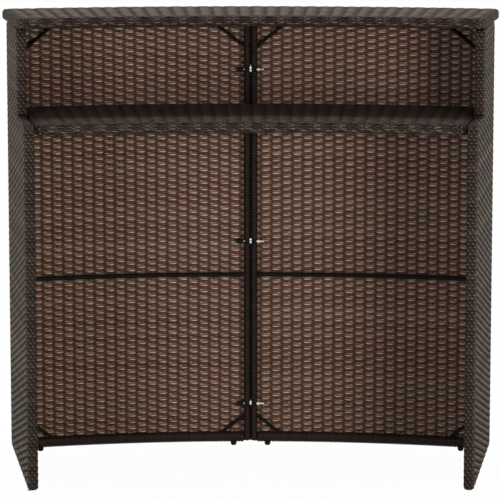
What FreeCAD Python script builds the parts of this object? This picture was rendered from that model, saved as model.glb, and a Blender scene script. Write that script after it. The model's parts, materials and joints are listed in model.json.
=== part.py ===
# Curved garden bar: tube-framed panels covered with woven rattan, a bowed counter top and a shelf.
# Millimetres. +Z is up, +X is to the right of the person serving and +Y points to the guests' side.
# The origin lies on the floor, in the middle of the bar's outline in plan.
import FreeCAD
import Part
import Sketcher
import math
import os

from FreeCAD import Placement, Rotation, Vector

# Driving dimensions, one cell each
SIZES = {
    # Whole bar
    "height": 1100,
    "depth": 605,
    # Counter top
    "top_corner_width": 1233,
    "top_thickness": 25,
    "top_far_radius": 2105,
    "top_side_overhang": 13,
    "top_near_overhang": -3,
    "top_near_setback": 9,
    # Wings
    "wing_near_width": 1050,
    "wing_thickness": 25,
    "wing_upper_depth": 314,
    "wing_far_setback": 100,
    "wing_step_radius": 12,
    "wing_crossbar_height": 436,
    # Shelf
    "shelf_height": 867,
    "shelf_thickness": 26,
    "shelf_near_radius": 1975,
    "shelf_near_setback": 72,
    "shelf_back_gap": 3,
    "shelf_crossbar_pitch": 260,
    # Front panels
    "front_overhang": 98,
    "front_floor_gap": 11.5,
    "post_diameter": 13,
    "seam_gap": 1,
    "binding_thickness": 1.5,
    "sheet_thickness": 3,
    "mid_rail_height": 436,
    "mid_rail_diameter": 11,
    "brace_diameter": 7.5,
    "brace_run": 80,
    "brace_rise": 64,
    # Frames and skins of the wings, the top and the shelf
    "skin_thickness": 3,
    "frame_clearance": 0.5,
    "bend_radius": 14,
    "edge_radius": 8,
    "crossbar_diameter": 14,
    "tube_wall": 1.2,
    "seat_gap": 0.3,
    # Glides
    "glide_diameter": 15,
    "glide_round": 5.5,
    "glide_offset": 34,
    "glide_stem_diameter": 5,
    # Fasteners
    "bolt_diameter": 5,
    "bolt_clearance": 0.3,
    "bolt_head_diameter": 9,
    "bolt_head_height": 3,
    "bolt_low_height": 107,
    "bolt_middle_height": 520,
    "bolt_high_drop": 150,
    "top_bolt_inner_place": 140,
    "top_bolt_outer_place": 420,
    "knob_diameter": 12,
    "knob_length": 17,
    "knob_socket_depth": 10,
    "nut_across_corners": 9,
    "nut_height": 4,
    "bolt_tail": 12,
    "bolt_window": 14,
    "bracket_leg": 45,
    "bracket_width": 30,
    "bracket_thickness": 2,
    "bracket_bolt_drop": 30,
    "bracket_near_place": 110,
    "bracket_far_place": 340,
}

# Places worked out from the driving dimensions
# A plan angle is measured from +Y towards +X, about the bow's centre
LAYOUT = {
    "flush": "0",
    # Wings: in a wing's own axes x points outwards and y runs along the wing, away from the serving side
    "wing_run": "Sizes.depth - Sizes.wing_far_setback",
    "wing_far_half": "Sizes.top_corner_width / 2 - Sizes.top_side_overhang",
    "splay": "atan((wing_far_half - Sizes.wing_near_width / 2) / wing_run)",
    "wing_turn": "-splay",
    "wing_length": "wing_run / cos(splay)",
    "wing_x": "Sizes.wing_near_width / 2",
    "wing_y": "-Sizes.depth / 2 - Sizes.edge_radius * (sin(splay) + cos(splay) - 1)",
    "wing_half": "Sizes.wing_thickness / 2",
    "wing_middle": "-wing_half",
    "wing_upper_start": "wing_length - Sizes.wing_upper_depth",
    "wing_tube_radius": "wing_half - Sizes.skin_thickness - Sizes.frame_clearance",
    "wing_seat": "Sizes.wing_thickness + Sizes.seat_gap",
    "joint_post_length": "under_top - Sizes.wing_thickness",
    "wing_crossbar_length": "wing_length - Sizes.wing_thickness",
    "crossbar_radius": "Sizes.crossbar_diameter / 2",
    # Counter top
    "under_top": "Sizes.height - Sizes.top_thickness",
    "top_half": "Sizes.top_thickness / 2",
    "top_middle": "Sizes.height - top_half",
    "bow_centre": "Sizes.depth / 2 - Sizes.top_far_radius",
    "top_near_half": "wing_x + wing_upper_start * sin(splay) + Sizes.top_near_overhang",
    "top_near_y": "wing_y + wing_upper_start * cos(splay) - Sizes.top_near_setback",
    "top_near_radius": "sqrt(top_near_half ^ 2 + (top_near_y - bow_centre) ^ 2)",
    "top_far_half": "Sizes.top_corner_width / 2",
    "top_far_y": "bow_centre + sqrt(Sizes.top_far_radius ^ 2 - top_far_half ^ 2)",
    "top_end_angle": "atan((top_far_half - top_near_half) / (top_far_y - top_near_y))",
    "top_end_distance": "top_near_half * cos(top_end_angle) - top_near_y * sin(top_end_angle)",
    "top_tube_radius": "top_half - Sizes.skin_thickness - Sizes.frame_clearance",
    "top_bar_start": "top_near_radius + top_half",
    "top_crossbar_length": "Sizes.top_far_radius - top_near_radius - Sizes.top_thickness",
    # Front panels
    "front_radius": "Sizes.top_far_radius - Sizes.front_overhang",
    "front_top": "under_top - Sizes.seat_gap",
    "front_height": "front_top - Sizes.front_floor_gap",
    "post_radius": "Sizes.post_diameter / 2",
    "tube_room": "post_radius + Sizes.seat_gap",
    "binding_radius": "tube_room + Sizes.binding_thickness",
    "bottom_rail_height": "Sizes.front_floor_gap + binding_radius",
    "top_rail_height": "front_top - binding_radius",
    "post_bottom": "bottom_rail_height - post_radius",
    "post_length": "top_rail_height - bottom_rail_height + Sizes.post_diameter",
    "mid_rail_radius": "Sizes.mid_rail_diameter / 2",
    "mid_rail_room": "mid_rail_radius + Sizes.seat_gap",
    "inner_post_x": "Sizes.seam_gap / 2 + binding_radius",
    "inner_post_y": "bow_centre + sqrt(front_radius ^ 2 - inner_post_x ^ 2)",
    "inner_post_angle": "asin(inner_post_x / front_radius)",
    "post_side": "wing_seat + binding_radius",
    "post_line_x": "wing_x - post_side * cos(splay)",
    "post_line_y": "wing_y + post_side * sin(splay) - bow_centre",
    "post_line_b": "post_line_x * sin(splay) + post_line_y * cos(splay)",
    "post_line_c": "post_line_x ^ 2 + post_line_y ^ 2 - front_radius ^ 2",
    "outer_post_along": "sqrt(post_line_b ^ 2 - post_line_c) - post_line_b",
    "outer_post_x": "post_line_x + outer_post_along * sin(splay)",
    "outer_post_y": "post_line_y + outer_post_along * cos(splay) + bow_centre",
    "outer_post_angle": "asin(outer_post_x / front_radius)",
    "sheet_inner_radius": "front_radius + binding_radius + Sizes.seat_gap",
    "sheet_outer_radius": "sheet_inner_radius + Sizes.sheet_thickness",
    "sheet_line_x": "wing_x - wing_seat * cos(splay)",
    "sheet_line_y": "wing_y + wing_seat * sin(splay) - bow_centre",
    "sheet_line_b": "sheet_line_x * sin(splay) + sheet_line_y * cos(splay)",
    "sheet_line_c": "sheet_line_x ^ 2 + sheet_line_y ^ 2 - sheet_outer_radius ^ 2",
    "sheet_end_along": "sqrt(sheet_line_b ^ 2 - sheet_line_c) - sheet_line_b",
    "sheet_end_angle": "asin((sheet_line_x + sheet_end_along * sin(splay)) / sheet_outer_radius)",
    "sheet_start_angle": "asin(Sizes.seam_gap / 2 / sheet_inner_radius)",
    # Shelf
    "under_shelf": "Sizes.shelf_height - Sizes.shelf_thickness",
    "shelf_half": "Sizes.shelf_thickness / 2",
    "shelf_middle": "Sizes.shelf_height - shelf_half",
    "shelf_tube_radius": "shelf_half - Sizes.skin_thickness - Sizes.frame_clearance",
    "shelf_near_centre": "Sizes.shelf_near_setback - Sizes.depth / 2 - Sizes.shelf_near_radius",
    "shelf_end_distance": "wing_x * cos(splay) - wing_y * sin(splay) - wing_seat",
    "shelf_back_radius": "front_radius - binding_radius - Sizes.shelf_back_gap",
    "shelf_near_path": "Sizes.shelf_near_radius + shelf_half",
    "shelf_back_path": "shelf_back_radius - shelf_half",
    # Glides and fasteners
    "glide_radius": "Sizes.glide_diameter / 2",
    "glide_height": "Sizes.front_floor_gap - Sizes.seat_gap",
    "glide_stem_radius": "Sizes.glide_stem_diameter / 2",
    "glide_hole_radius": "glide_stem_radius + Sizes.bolt_clearance",
    "glide_step": "Sizes.glide_offset / front_radius * 180 deg / pi",
    "inner_glide_angle": "inner_post_angle + glide_step",
    "outer_glide_angle": "outer_post_angle - glide_step",
    "bolt_radius": "Sizes.bolt_diameter / 2",
    "bolt_head_radius": "Sizes.bolt_head_diameter / 2",
    "bolt_hole_radius": "bolt_radius + Sizes.bolt_clearance",
    "bolt_high_height": "Sizes.height - Sizes.bolt_high_drop",
    "seam_side": "inner_post_x + binding_radius + Sizes.seat_gap",
    "centre_bolt_start": "-(seam_side + Sizes.knob_socket_depth)",
    "centre_bolt_length": "2 * seam_side + Sizes.knob_socket_depth + Sizes.nut_height + Sizes.bolt_tail",
    "wing_bolt_seat": "-(post_side + binding_radius + Sizes.seat_gap)",
    "wing_bolt_length": "wing_middle - wing_bolt_seat",
    "top_bolt_inner_angle": "asin(Sizes.top_bolt_inner_place / front_radius)",
    "top_bolt_outer_angle": "asin(Sizes.top_bolt_outer_place / front_radius)",
    "top_bolt_seat": "Sizes.height - Sizes.top_thickness - 2 * (Sizes.seat_gap + binding_radius)",
    "top_bolt_length": "top_middle - top_bolt_seat",
    "bracket_side": "-(Sizes.wing_thickness + Sizes.bracket_thickness)",
    "bracket_bottom": "under_shelf - Sizes.bracket_leg",
    "bracket_bolt_height": "under_shelf - Sizes.bracket_bolt_drop",
    "bracket_bolt_side": "-(wing_seat + shelf_half)",
    "bracket_under": "under_shelf - Sizes.bracket_thickness",
    "bracket_bolt_length": "wing_middle - bracket_side",
    "shelf_bolt_length": "shelf_middle - bracket_under",
}

ALONG = {
    "x": Rotation(Vector(0, 1, 0), 90),
    "y": Rotation(Vector(1, 0, 0), -90),
    "z": Rotation(),
}
TINY = 1e-4

doc = FreeCAD.newDocument("bar")


# Spreadsheets

def fill_sheet(name, cells, sign):
    """Write one named value per row."""
    sheet = doc.addObject("Spreadsheet::Sheet", name)
    for row, (alias, content) in enumerate(cells.items(), start=1):
        sheet.set(f"A{row}", alias)
        sheet.set(f"B{row}", f"{sign}{content}")
        sheet.setAlias(f"B{row}", alias)
    doc.recompute()
    return sheet


sizes = fill_sheet("Sizes", SIZES, "")
layout = fill_sheet("Layout", LAYOUT, "=")


def value(alias):
    """A size or place as a plain number, in millimetres or degrees."""
    cell = sizes.get(alias) if alias in SIZES else layout.get(alias)
    return float(getattr(cell, "Value", cell))


def term(name):
    """The expression that reads a named value; any other text already is an expression."""
    if name in SIZES:
        return f"Sizes.{name}"
    if name in LAYOUT:
        return f"Layout.{name}"
    return name


# Building blocks

def add(kind, name):
    item = doc.addObject(kind, name)
    item.Label = name
    return item


def bind(item, **terms):
    for key, name in terms.items():
        item.setExpression(key, term(name))
    return item


def shift(item, x, y, z):
    for axis, name in (("x", x), ("y", y), ("z", z)):
        item.setExpression(f"Placement.Base.{axis}", term(name))
    return item


def turn(item, angle, x="0", y="0", z="0"):
    """Place an object from named values, turned about the vertical."""
    item.Placement = Placement(Vector(), Rotation(Vector(0, 0, 1), 1))
    item.setExpression("Placement.Rotation.Angle", term(angle))
    return shift(item, x, y, z)


def place_on_wing(item):
    """Carry an object from the right wing's own axes to its place in the bar."""
    return turn(item, "wing_turn", "wing_x", "wing_y")


def cylinder(name, radius, length, x="0", y="0", z="0", along="z"):
    rod = bind(add("Part::Cylinder", name), Radius=radius, Height=length)
    rod.Placement = Placement(Vector(), ALONG[along])
    return shift(rod, x, y, z)


def box(name, length, width, height, x, y, z):
    return shift(bind(add("Part::Box", name), Length=length, Width=width, Height=height), x, y, z)


def bowed_bar(name, bar_radius, z):
    """A solid round bar along a front panel's bow, from its inner post to its outer post."""
    bar = bind(add("Part::Torus", name), Radius1="front_radius", Radius2=bar_radius)
    bar.setExpression("Angle3", "Layout.outer_post_angle - Layout.inner_post_angle")
    return turn(bar, "90 deg - Layout.outer_post_angle", "0", "bow_centre", z)


def fuse(name, *items):
    result = add("Part::MultiFuse", name)
    result.Shapes = list(items)
    return result


def group(name, *items):
    result = add("Part::Compound", name)
    result.Links = list(items)
    return result


def cut(name, base, *tools):
    result = add("Part::Cut", name)
    result.Base = base
    result.Tool = tools[0] if len(tools) == 1 else fuse(f"{name}_tools", *tools)
    return result


def on_bow(name, item, angle):
    """Carry an object from axes about the bow's centre to a plan angle."""
    return turn(group(name, item), f"-{term(angle)}", "0", "bow_centre")


def mirror(name, source):
    """The left-hand twin of a right-hand object."""
    twin = add("Part::Mirroring", name)
    twin.Source = source
    twin.Base = Vector(0, 0, 0)
    twin.Normal = Vector(1, 0, 0)
    return twin


def tube(name, radius, length, x="0", y="0", z="0", along="z"):
    outside = cylinder(f"{name}_outside", radius, length, x, y, z, along)
    bore = cylinder(f"{name}_bore", f"{term(radius)} - Sizes.tube_wall", length, x, y, z, along)
    return cut(name, outside, bore)


def bolt(name, length, x="0", y="0", z="0", along="z"):
    """A bolt whose head seats at its place and whose shank runs on along the axis."""
    shank = cylinder(f"{name}_shank", "bolt_radius", length)
    head = cylinder(f"{name}_head", "bolt_head_radius", "bolt_head_height", z="-Sizes.bolt_head_height")
    whole = fuse(name, shank, head)
    whole.Placement = Placement(Vector(), ALONG[along])
    return shift(whole, x, y, z)


# Plates: with an inset, one outline gives a skin's outside, its hollow and the path of the frame tube

def body_with_sketch(name, plane, offset):
    body = add("PartDesign::Body", name)
    sketch = body.newObject("Sketcher::SketchObject", f"{name}_sketch")
    origin = next(item for item in body.Origin.OriginFeatures if item.Role == plane)
    sketch.AttachmentSupport = [(origin, "")]
    sketch.MapMode = "FlatFace"
    sketch.setExpression("AttachmentOffset.Base.z", offset)
    return body, sketch


def hold(sketch, key, constraint, expression):
    """Add a named dimension that follows the sheets."""
    index = sketch.addConstraint(constraint)
    sketch.renameConstraint(index, key)
    sketch.setExpression(f"Constraints.{key}", expression)


def pad(body, sketch, length):
    feature = body.newObject("PartDesign::Pad", f"{body.Name}_pad")
    feature.Profile = sketch
    feature.setExpression("Length", length)
    doc.recompute()
    return feature


def extent(edge, axis):
    limits = edge.BoundBox
    return {"x": limits.XLength, "y": limits.YLength, "z": limits.ZLength}[axis]


def edge_names(shape, wanted):
    return [f"Edge{number}" for number, edge in enumerate(shape.Edges, start=1) if wanted(edge)]


def round_edges(body, base, name, wanted, radius):
    feature = body.newObject("PartDesign::Fillet", f"{body.Name}_{name}")
    feature.Base = (base, edge_names(base.Shape, wanted))
    feature.setExpression("Radius", radius)
    doc.recompute()
    return feature


def end_crossing(lean, distance, radius, centre):
    """Where a right-hand end line meets an arc about a centre on the Y axis."""
    angle = math.radians(lean)
    foot = Vector(distance * math.cos(angle), -distance * math.sin(angle) - centre, 0)
    way = Vector(math.sin(angle), math.cos(angle), 0)
    half = foot.dot(way)
    along = math.sqrt(half ** 2 - foot.dot(foot) + radius ** 2) - half
    return foot + way * along + Vector(0, centre, 0)


def left_of(point):
    return Vector(-point.x, point.y, 0)


def draw_arc(sketch, centre, radius, right_end):
    start = math.atan2(right_end.y - centre, right_end.x)
    circle = Part.Circle(Vector(0, centre, 0), Vector(0, 0, 1), radius)
    sketch.addGeometry(Part.ArcOfCircle(circle, start, math.pi - start))


def draw_line(sketch, start, end):
    sketch.addGeometry(Part.LineSegment(start, end))


def join_ends(sketch, joints):
    for first, first_end, second, second_end in joints:
        sketch.addConstraint(Sketcher.Constraint("Coincident", first, first_end, second, second_end))


def draw_outline(sketch, near_arc, far_arc):
    """Two arcs, each given by its centre, radius and right end, joined by a line at each end."""
    near_right = near_arc[2]
    far_right = far_arc[2]
    draw_arc(sketch, *near_arc)
    draw_line(sketch, near_right, far_right)
    draw_arc(sketch, *far_arc)
    draw_line(sketch, left_of(far_right), left_of(near_right))
    join_ends(sketch, ((0, 1, 1, 1), (1, 2, 2, 1), (2, 2, 3, 1), (3, 2, 0, 2)))


def hold_arc(sketch, name, arc, radius, radius_term, centre_name):
    """Hold an arc's radius and its centre on the Y axis."""
    sketch.addConstraint(Sketcher.Constraint("PointOnObject", arc, 3, -2))
    drop = Sketcher.Constraint("DistanceY", arc, 3, -1, 1, -value(centre_name))
    hold(sketch, f"{name}_centre", drop, f"-{term(centre_name)}")
    hold(sketch, f"{name}_radius", Sketcher.Constraint("Radius", arc, radius), radius_term)


def hold_end_lines(sketch, inset, angle_name, distance_name):
    lean = value(angle_name)
    distance = value(distance_name) - value(inset)
    for side, line, sign in (("right", 1, 1), ("left", 3, -1)):
        angle = Sketcher.Constraint("Angle", line, math.radians(sign * (90 - lean)))
        hold(sketch, f"{side}_angle", angle, f"{sign} * (90 deg - {term(angle_name)})")
        reach = Sketcher.Constraint("Distance", -1, 1, line, distance)
        hold(sketch, f"{side}_distance", reach, f"{term(distance_name)} - {term(inset)}")


def finish_plan_plate(body, sketch, inset, length, thickness):
    blank = pad(body, sketch, length)
    corner = f"Sizes.bend_radius + {term(thickness)} / 2 - {term(inset)}"
    round_edges(body, blank, "corners", lambda edge: extent(edge, "z") > TINY, corner)
    return body


def top_plate(name, inset, offset, length):
    """The counter top's outline: two concentric bows and two leaning ends."""
    body, sketch = body_with_sketch(name, "XY_Plane", offset)
    shrink = value(inset)
    centre = value("bow_centre")
    near_radius = value("top_near_radius") + shrink
    far_radius = value("top_far_radius") - shrink
    end = (value("top_end_angle"), value("top_end_distance") - shrink)
    near_right = end_crossing(*end, near_radius, centre)
    far_right = end_crossing(*end, far_radius, centre)
    draw_outline(sketch, (centre, near_radius, near_right), (centre, far_radius, far_right))
    hold_arc(sketch, "near", 0, near_radius, f"Layout.top_near_radius + {term(inset)}", "bow_centre")
    hold_arc(sketch, "far", 2, far_radius, f"Sizes.top_far_radius - {term(inset)}", "bow_centre")
    hold_end_lines(sketch, inset, "top_end_angle", "top_end_distance")
    return finish_plan_plate(body, sketch, inset, length, "top_thickness")


def shelf_plate(name, inset, offset, length):
    """The shelf's outline: a bowed near edge, two ends along the wings and a back along the front panels."""
    body, sketch = body_with_sketch(name, "XY_Plane", offset)
    shrink = value(inset)
    near_centre = value("shelf_near_centre")
    back_centre = value("bow_centre")
    near_radius = value("shelf_near_radius") + shrink
    back_radius = value("shelf_back_radius") - shrink
    end = (value("splay"), value("shelf_end_distance") - shrink)
    near_right = end_crossing(*end, near_radius, near_centre)
    back_right = end_crossing(*end, back_radius, back_centre)
    draw_outline(sketch, (near_centre, near_radius, near_right), (back_centre, back_radius, back_right))
    hold_arc(sketch, "near", 0, near_radius, f"Sizes.shelf_near_radius + {term(inset)}", "shelf_near_centre")
    hold_arc(sketch, "back", 2, back_radius, f"Layout.shelf_back_radius - {term(inset)}", "bow_centre")
    hold_end_lines(sketch, inset, "splay", "shelf_end_distance")
    return finish_plan_plate(body, sketch, inset, length, "shelf_thickness")


def wing_plate(name, inset, offset, length):
    """A wing's outline from the side: deep up to the shelf and shallower above it."""
    body, sketch = body_with_sketch(name, "YZ_Plane", offset)
    shrink = value(inset)
    near = shrink
    far = value("wing_length") - shrink
    upper = value("wing_upper_start") + shrink
    bottom = shrink
    step = value("shelf_height") - shrink
    top = value("under_top") - shrink
    corners = ((near, bottom), (far, bottom), (far, top), (upper, top), (upper, step), (near, step))
    points = [Vector(*corner, 0) for corner in corners]
    for start, end in zip(points, points[1:] + points[:1]):
        draw_line(sketch, start, end)
    join_ends(sketch, [(line, 2, (line + 1) % 6, 1) for line in range(6)])
    for line in range(6):
        sketch.addConstraint(Sketcher.Constraint("Vertical" if line % 2 else "Horizontal", line))
    once = term(inset)
    twice = f"2 * {once}"
    dimensions = {
        "reach": (("DistanceX", -1, 1, 1, 2, far), f"Layout.wing_length - {once}"),
        "top": (("DistanceY", -1, 1, 1, 2, top), f"Layout.under_top - {once}"),
        "length": (("DistanceX", 0, 1, 0, 2, far - near), f"Layout.wing_length - {twice}"),
        "rise": (("DistanceY", 1, 1, 1, 2, top - bottom), f"Layout.under_top - {twice}"),
        "upper": (("DistanceX", 2, 2, 2, 1, far - upper), f"Sizes.wing_upper_depth - {twice}"),
        "step": (("DistanceY", 5, 2, 5, 1, step - bottom), f"Sizes.shelf_height - {twice}"),
    }
    for key, (held, expression) in dimensions.items():
        hold(sketch, key, Sketcher.Constraint(*held), expression)
    blank = pad(body, sketch, length)

    def at_step(edge):
        place = edge.CenterOfMass
        return extent(edge, "x") > TINY and abs(place.y - upper) < TINY and abs(place.z - step) < TINY

    inner = round_edges(body, blank, "step", at_step, f"Sizes.wing_step_radius + {term(inset)}")
    outer = [edge for edge in blank.Shape.Edges if extent(edge, "x") > TINY and not at_step(edge)]
    known = [edge.CenterOfMass for edge in outer]

    def at_corner(edge):
        return any(edge.CenterOfMass.distanceToPoint(place) < TINY for place in known)

    round_edges(body, inner, "corners", at_corner, f"Sizes.bend_radius + Layout.wing_half - {term(inset)}")
    return body


def skin(name, plate, start, thickness, axis):
    """A woven cover: a closed shell with rounded rims."""
    outside = plate(f"{name}_outside", "flush", start, term(thickness))
    round_edges(outside, outside.Tip, "rims", lambda edge: extent(edge, axis) < TINY, "Sizes.edge_radius")
    hollow = plate(f"{name}_hollow", "skin_thickness", f"{start} + Sizes.skin_thickness",
                   f"{term(thickness)} - 2 * Sizes.skin_thickness")
    return cut(name, outside, hollow)


def loop(name, plate, inset, middle, axis, radius, seat, along):
    """A bent tube loop: its solid outside and the tube itself."""
    path = plate(f"{name}_path", inset, term(middle), "Sizes.skin_thickness")
    level = getattr(path.Shape.BoundBox, f"{axis.upper()}Min")

    def on_path(edge):
        edge_level = getattr(edge.BoundBox, f"{axis.upper()}Min")
        return extent(edge, axis) < TINY and abs(edge_level - level) < TINY

    edges = edge_names(path.Shape, on_path)
    bars = []
    for part, size in (("outside", term(radius)), ("bore", f"{term(radius)} - Sizes.tube_wall")):
        section = bind(add("Part::Circle", f"{name}_{part}_section"), Radius=size)
        section.Placement = Placement(Vector(), ALONG[along])
        shift(section, *seat)
        bar = add("Part::Sweep", f"{name}_{part}")
        bar.Sections = [section]
        bar.Spine = (path, edges)
        bar.Solid = True
        bars.append(bar)
    return bars[0], cut(f"{name}_tube", *bars)


# Hole tools shared by the pieces that a fastener passes through

BOLT_HEIGHTS = ("bolt_low_height", "bolt_middle_height", "bolt_high_height")
BRACKET_PLACES = ("bracket_near_place", "bracket_far_place")
TOP_BOLT_ANGLES = ("top_bolt_inner_angle", "top_bolt_outer_angle")
GLIDE_ANGLES = ("inner_glide_angle", "outer_glide_angle")

wing_bolt_holes = group("wing_bolt_holes", *[
    cylinder(f"wing_bolt_hole_{height}", "bolt_hole_radius", "wing_bolt_length", x="wing_bolt_seat",
             y="outer_post_along", z=height, along="x") for height in BOLT_HEIGHTS])
bracket_wing_holes = group("bracket_wing_holes", *[
    cylinder(f"bracket_wing_hole_{place}", "bolt_hole_radius", "bracket_bolt_length",
             x="bracket_side", y=place, z="bracket_bolt_height", along="x") for place in BRACKET_PLACES])
bracket_shelf_holes = group("bracket_shelf_holes", *[
    cylinder(f"bracket_shelf_hole_{place}", "bolt_hole_radius", "shelf_bolt_length",
             x="bracket_bolt_side", y=place, z="bracket_under") for place in BRACKET_PLACES])
placed_wing_bolt_holes = place_on_wing(group("placed_wing_bolt_holes", wing_bolt_holes))
shelf_holes_right = place_on_wing(group("shelf_holes_right", bracket_shelf_holes))
shelf_holes = group("shelf_holes", shelf_holes_right, mirror("shelf_holes_left", shelf_holes_right))


def top_hole(angle):
    return cylinder(f"top_hole_rod_{angle}", "bolt_hole_radius", "top_bolt_length", y="front_radius",
                    z="top_bolt_seat")


def glide_hole(angle):
    return cylinder(f"glide_hole_rod_{angle}", "glide_hole_radius", "bottom_rail_height", y="front_radius")


top_holes_right = group("top_holes_right", *[
    on_bow(f"top_hole_{angle}", top_hole(angle), angle) for angle in TOP_BOLT_ANGLES])
top_holes = group("top_holes", top_holes_right, mirror("top_holes_left", top_holes_right))
glide_holes = group("glide_holes", *[
    on_bow(f"glide_hole_{angle}", glide_hole(angle), angle) for angle in GLIDE_ANGLES])
seam_holes = group("seam_holes", *[
    cylinder(f"seam_hole_{height}", "bolt_hole_radius", "2 * Layout.seam_side", x="-Layout.seam_side",
             y="inner_post_y", z=height, along="x") for height in BOLT_HEIGHTS])
seam_windows = group("seam_windows", *[
    box(f"seam_window_{height}", "2 * Layout.inner_post_x", "4 * Layout.binding_radius", "bolt_window",
        "-Layout.inner_post_x", "Layout.inner_post_y - 2 * Layout.binding_radius",
        f"{term(height)} - Sizes.bolt_window / 2") for height in BOLT_HEIGHTS])


# Front panels

def post(name, x, y, holes):
    whole_post = tube(f"{name}_post_tube", "post_radius", "post_length", x, y, "post_bottom")
    return cut(f"front_right_{name}_post", whole_post, holes)


def rail(name, height, holes):
    outside = bowed_bar(f"{name}_rail_outside", "post_radius", height)
    bore = bowed_bar(f"{name}_rail_bore", "Layout.post_radius - Sizes.tube_wall", height)
    return cut(f"front_right_{name}_rail", outside, bore, *post_rooms, holes)


def upright_rods(name, radius):
    """Full-height rods in the places of the two posts."""
    return [cylinder(f"{post_name}_{name}", radius, "front_height", x, y, "front_floor_gap")
            for post_name, (x, y, holes) in POSTS.items()]


def bowed_rails(name, radius):
    """Bars in the places of the bottom and the top rail."""
    return [bowed_bar(f"{rail_name}_{name}", radius, height) for rail_name, (height, holes) in RAILS.items()]


POSTS = {
    "inner": ("inner_post_x", "inner_post_y", seam_holes),
    "outer": ("outer_post_x", "outer_post_y", placed_wing_bolt_holes),
}
RAILS = {
    "bottom": ("bottom_rail_height", glide_holes),
    "top": ("top_rail_height", top_holes_right),
}
post_rooms = upright_rods("post_room", "tube_room")
rail_rooms = bowed_rails("rail_room", "tube_room")
posts = [post(name, *place) for name, place in POSTS.items()]
rails = [rail(name, *place) for name, place in RAILS.items()]
mid_rail_bar = bowed_bar("mid_rail_bar", "mid_rail_radius", "mid_rail_height")
mid_rail = cut("front_right_mid_rail", mid_rail_bar, *post_rooms)


def bow_point(angle, height):
    radius = value("front_radius")
    return Vector(radius * math.sin(angle), value("bow_centre") + radius * math.cos(angle), height)


def brace_rods(radius):
    """Four straight rods across the corners of the front panel's frame."""
    rise = value("brace_rise")
    step = value("brace_run") / value("front_radius")
    rods = []
    for height, up in ((value("bottom_rail_height"), rise), (value("top_rail_height"), -rise)):
        for angle, way in ((value("inner_post_angle"), step), (value("outer_post_angle"), -step)):
            foot = bow_point(math.radians(angle), height + up)
            head = bow_point(math.radians(angle) + way, height)
            rods.append(Part.makeCylinder(radius, foot.distanceToPoint(head), foot, head - foot))
    return Part.makeCompound(rods)


doc.recompute()
braces = add("Part::Feature", "front_right_braces")
frame_rooms = [room.Shape for room in post_rooms + rail_rooms]
braces.Shape = brace_rods(value("brace_diameter") / 2).cut(frame_rooms)
braces.Placement = Placement()
brace_room = add("Part::Feature", "brace_room")
brace_room.Shape = brace_rods(value("brace_diameter") / 2 + value("seat_gap"))
brace_room.Placement = Placement()


# Binding: a sleeve on each post and rail, with room for the tubes and bolts that pass through it

def sleeves(name, outsides, cores, *rooms):
    tubes = [cut(f"{outside.Label}_tube", outside, core) for outside, core in zip(outsides, cores)]
    return cut(name, group(f"{name}_tubes", *tubes), *rooms)


mid_rail_room = bowed_bar("mid_rail_room", "mid_rail_room", "mid_rail_height")
rail_passages = bowed_rails("rail_passage", "Layout.tube_room + Sizes.seat_gap")
post_sleeve_rooms = upright_rods("post_sleeve_room", "Layout.binding_radius + Sizes.seat_gap")
post_sleeves = sleeves("post_sleeves", upright_rods("post_sleeve", "binding_radius"), post_rooms,
                       *rail_passages, mid_rail_room, brace_room, seam_windows, placed_wing_bolt_holes,
                       seam_holes)
rail_sleeves = sleeves("rail_sleeves", bowed_rails("rail_sleeve", "binding_radius"), rail_rooms,
                       *post_sleeve_rooms, brace_room, glide_holes, top_holes_right)
binding = group("front_right_binding", post_sleeves, rail_sleeves)

# Woven sheet on the guests' side

sheet_outside = bind(add("Part::Cylinder", "sheet_outside"), Radius="sheet_outer_radius",
                     Height="front_height", Angle="Layout.sheet_end_angle - Layout.sheet_start_angle")
turn(sheet_outside, "90 deg - Layout.sheet_end_angle", "0", "bow_centre", "front_floor_gap")
sheet_inside = cylinder("sheet_inside", "sheet_inner_radius", "front_height", y="bow_centre",
                        z="front_floor_gap")
sheet = cut("front_right_weave", sheet_outside, sheet_inside, seam_windows)

# Glides


def glide(name, angle):
    """A push-in glide: a round-bottomed foot with a stem."""
    body = add("PartDesign::Body", name)
    foot = bind(body.newObject("PartDesign::AdditiveCylinder", f"{name}_foot"), Radius="glide_radius",
                Height="glide_height")
    doc.recompute()
    round_edges(body, foot, "sole", lambda edge: extent(edge, "z") < TINY and edge.BoundBox.ZMax < TINY,
                "Sizes.glide_round")
    bind(body.newObject("PartDesign::AdditiveCylinder", f"{name}_stem"), Radius="glide_stem_radius",
         Height="bottom_rail_height")
    body.Placement = Placement()
    shift(body, f"Layout.front_radius * sin({term(angle)})",
          f"Layout.bow_centre + Layout.front_radius * cos({term(angle)})", "0")
    return body


glides = group("front_right_glides", *[glide(f"glide_{angle}", angle) for angle in GLIDE_ANGLES])

# Wings, in their own axes until they are placed

wing_loop_seat = ("wing_middle", "Layout.wing_length / 2", "wing_half")
wing_loop_bar, wing_loop_tube = loop("wing_loop", wing_plate, "wing_half", "wing_middle", "x",
                                     "wing_tube_radius", wing_loop_seat, "y")
joint_post_place = ("wing_tube_radius", "joint_post_length", "wing_middle", "outer_post_along", "wing_half")
joint_post_rod = cylinder("joint_post_rod", *joint_post_place)
joint_post_tube = tube("joint_post_tube", *joint_post_place)
wing_crossbar_tubes = group("wing_crossbar_tubes", *[
    tube(f"wing_crossbar_{height}", "crossbar_radius", "wing_crossbar_length", "wing_middle", "wing_half",
         height, "y") for height in ("bracket_bolt_height", "wing_crossbar_height")])
wing_cover = skin("wing_skin", wing_plate, "-Sizes.wing_thickness", "wing_thickness", "x")

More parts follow.
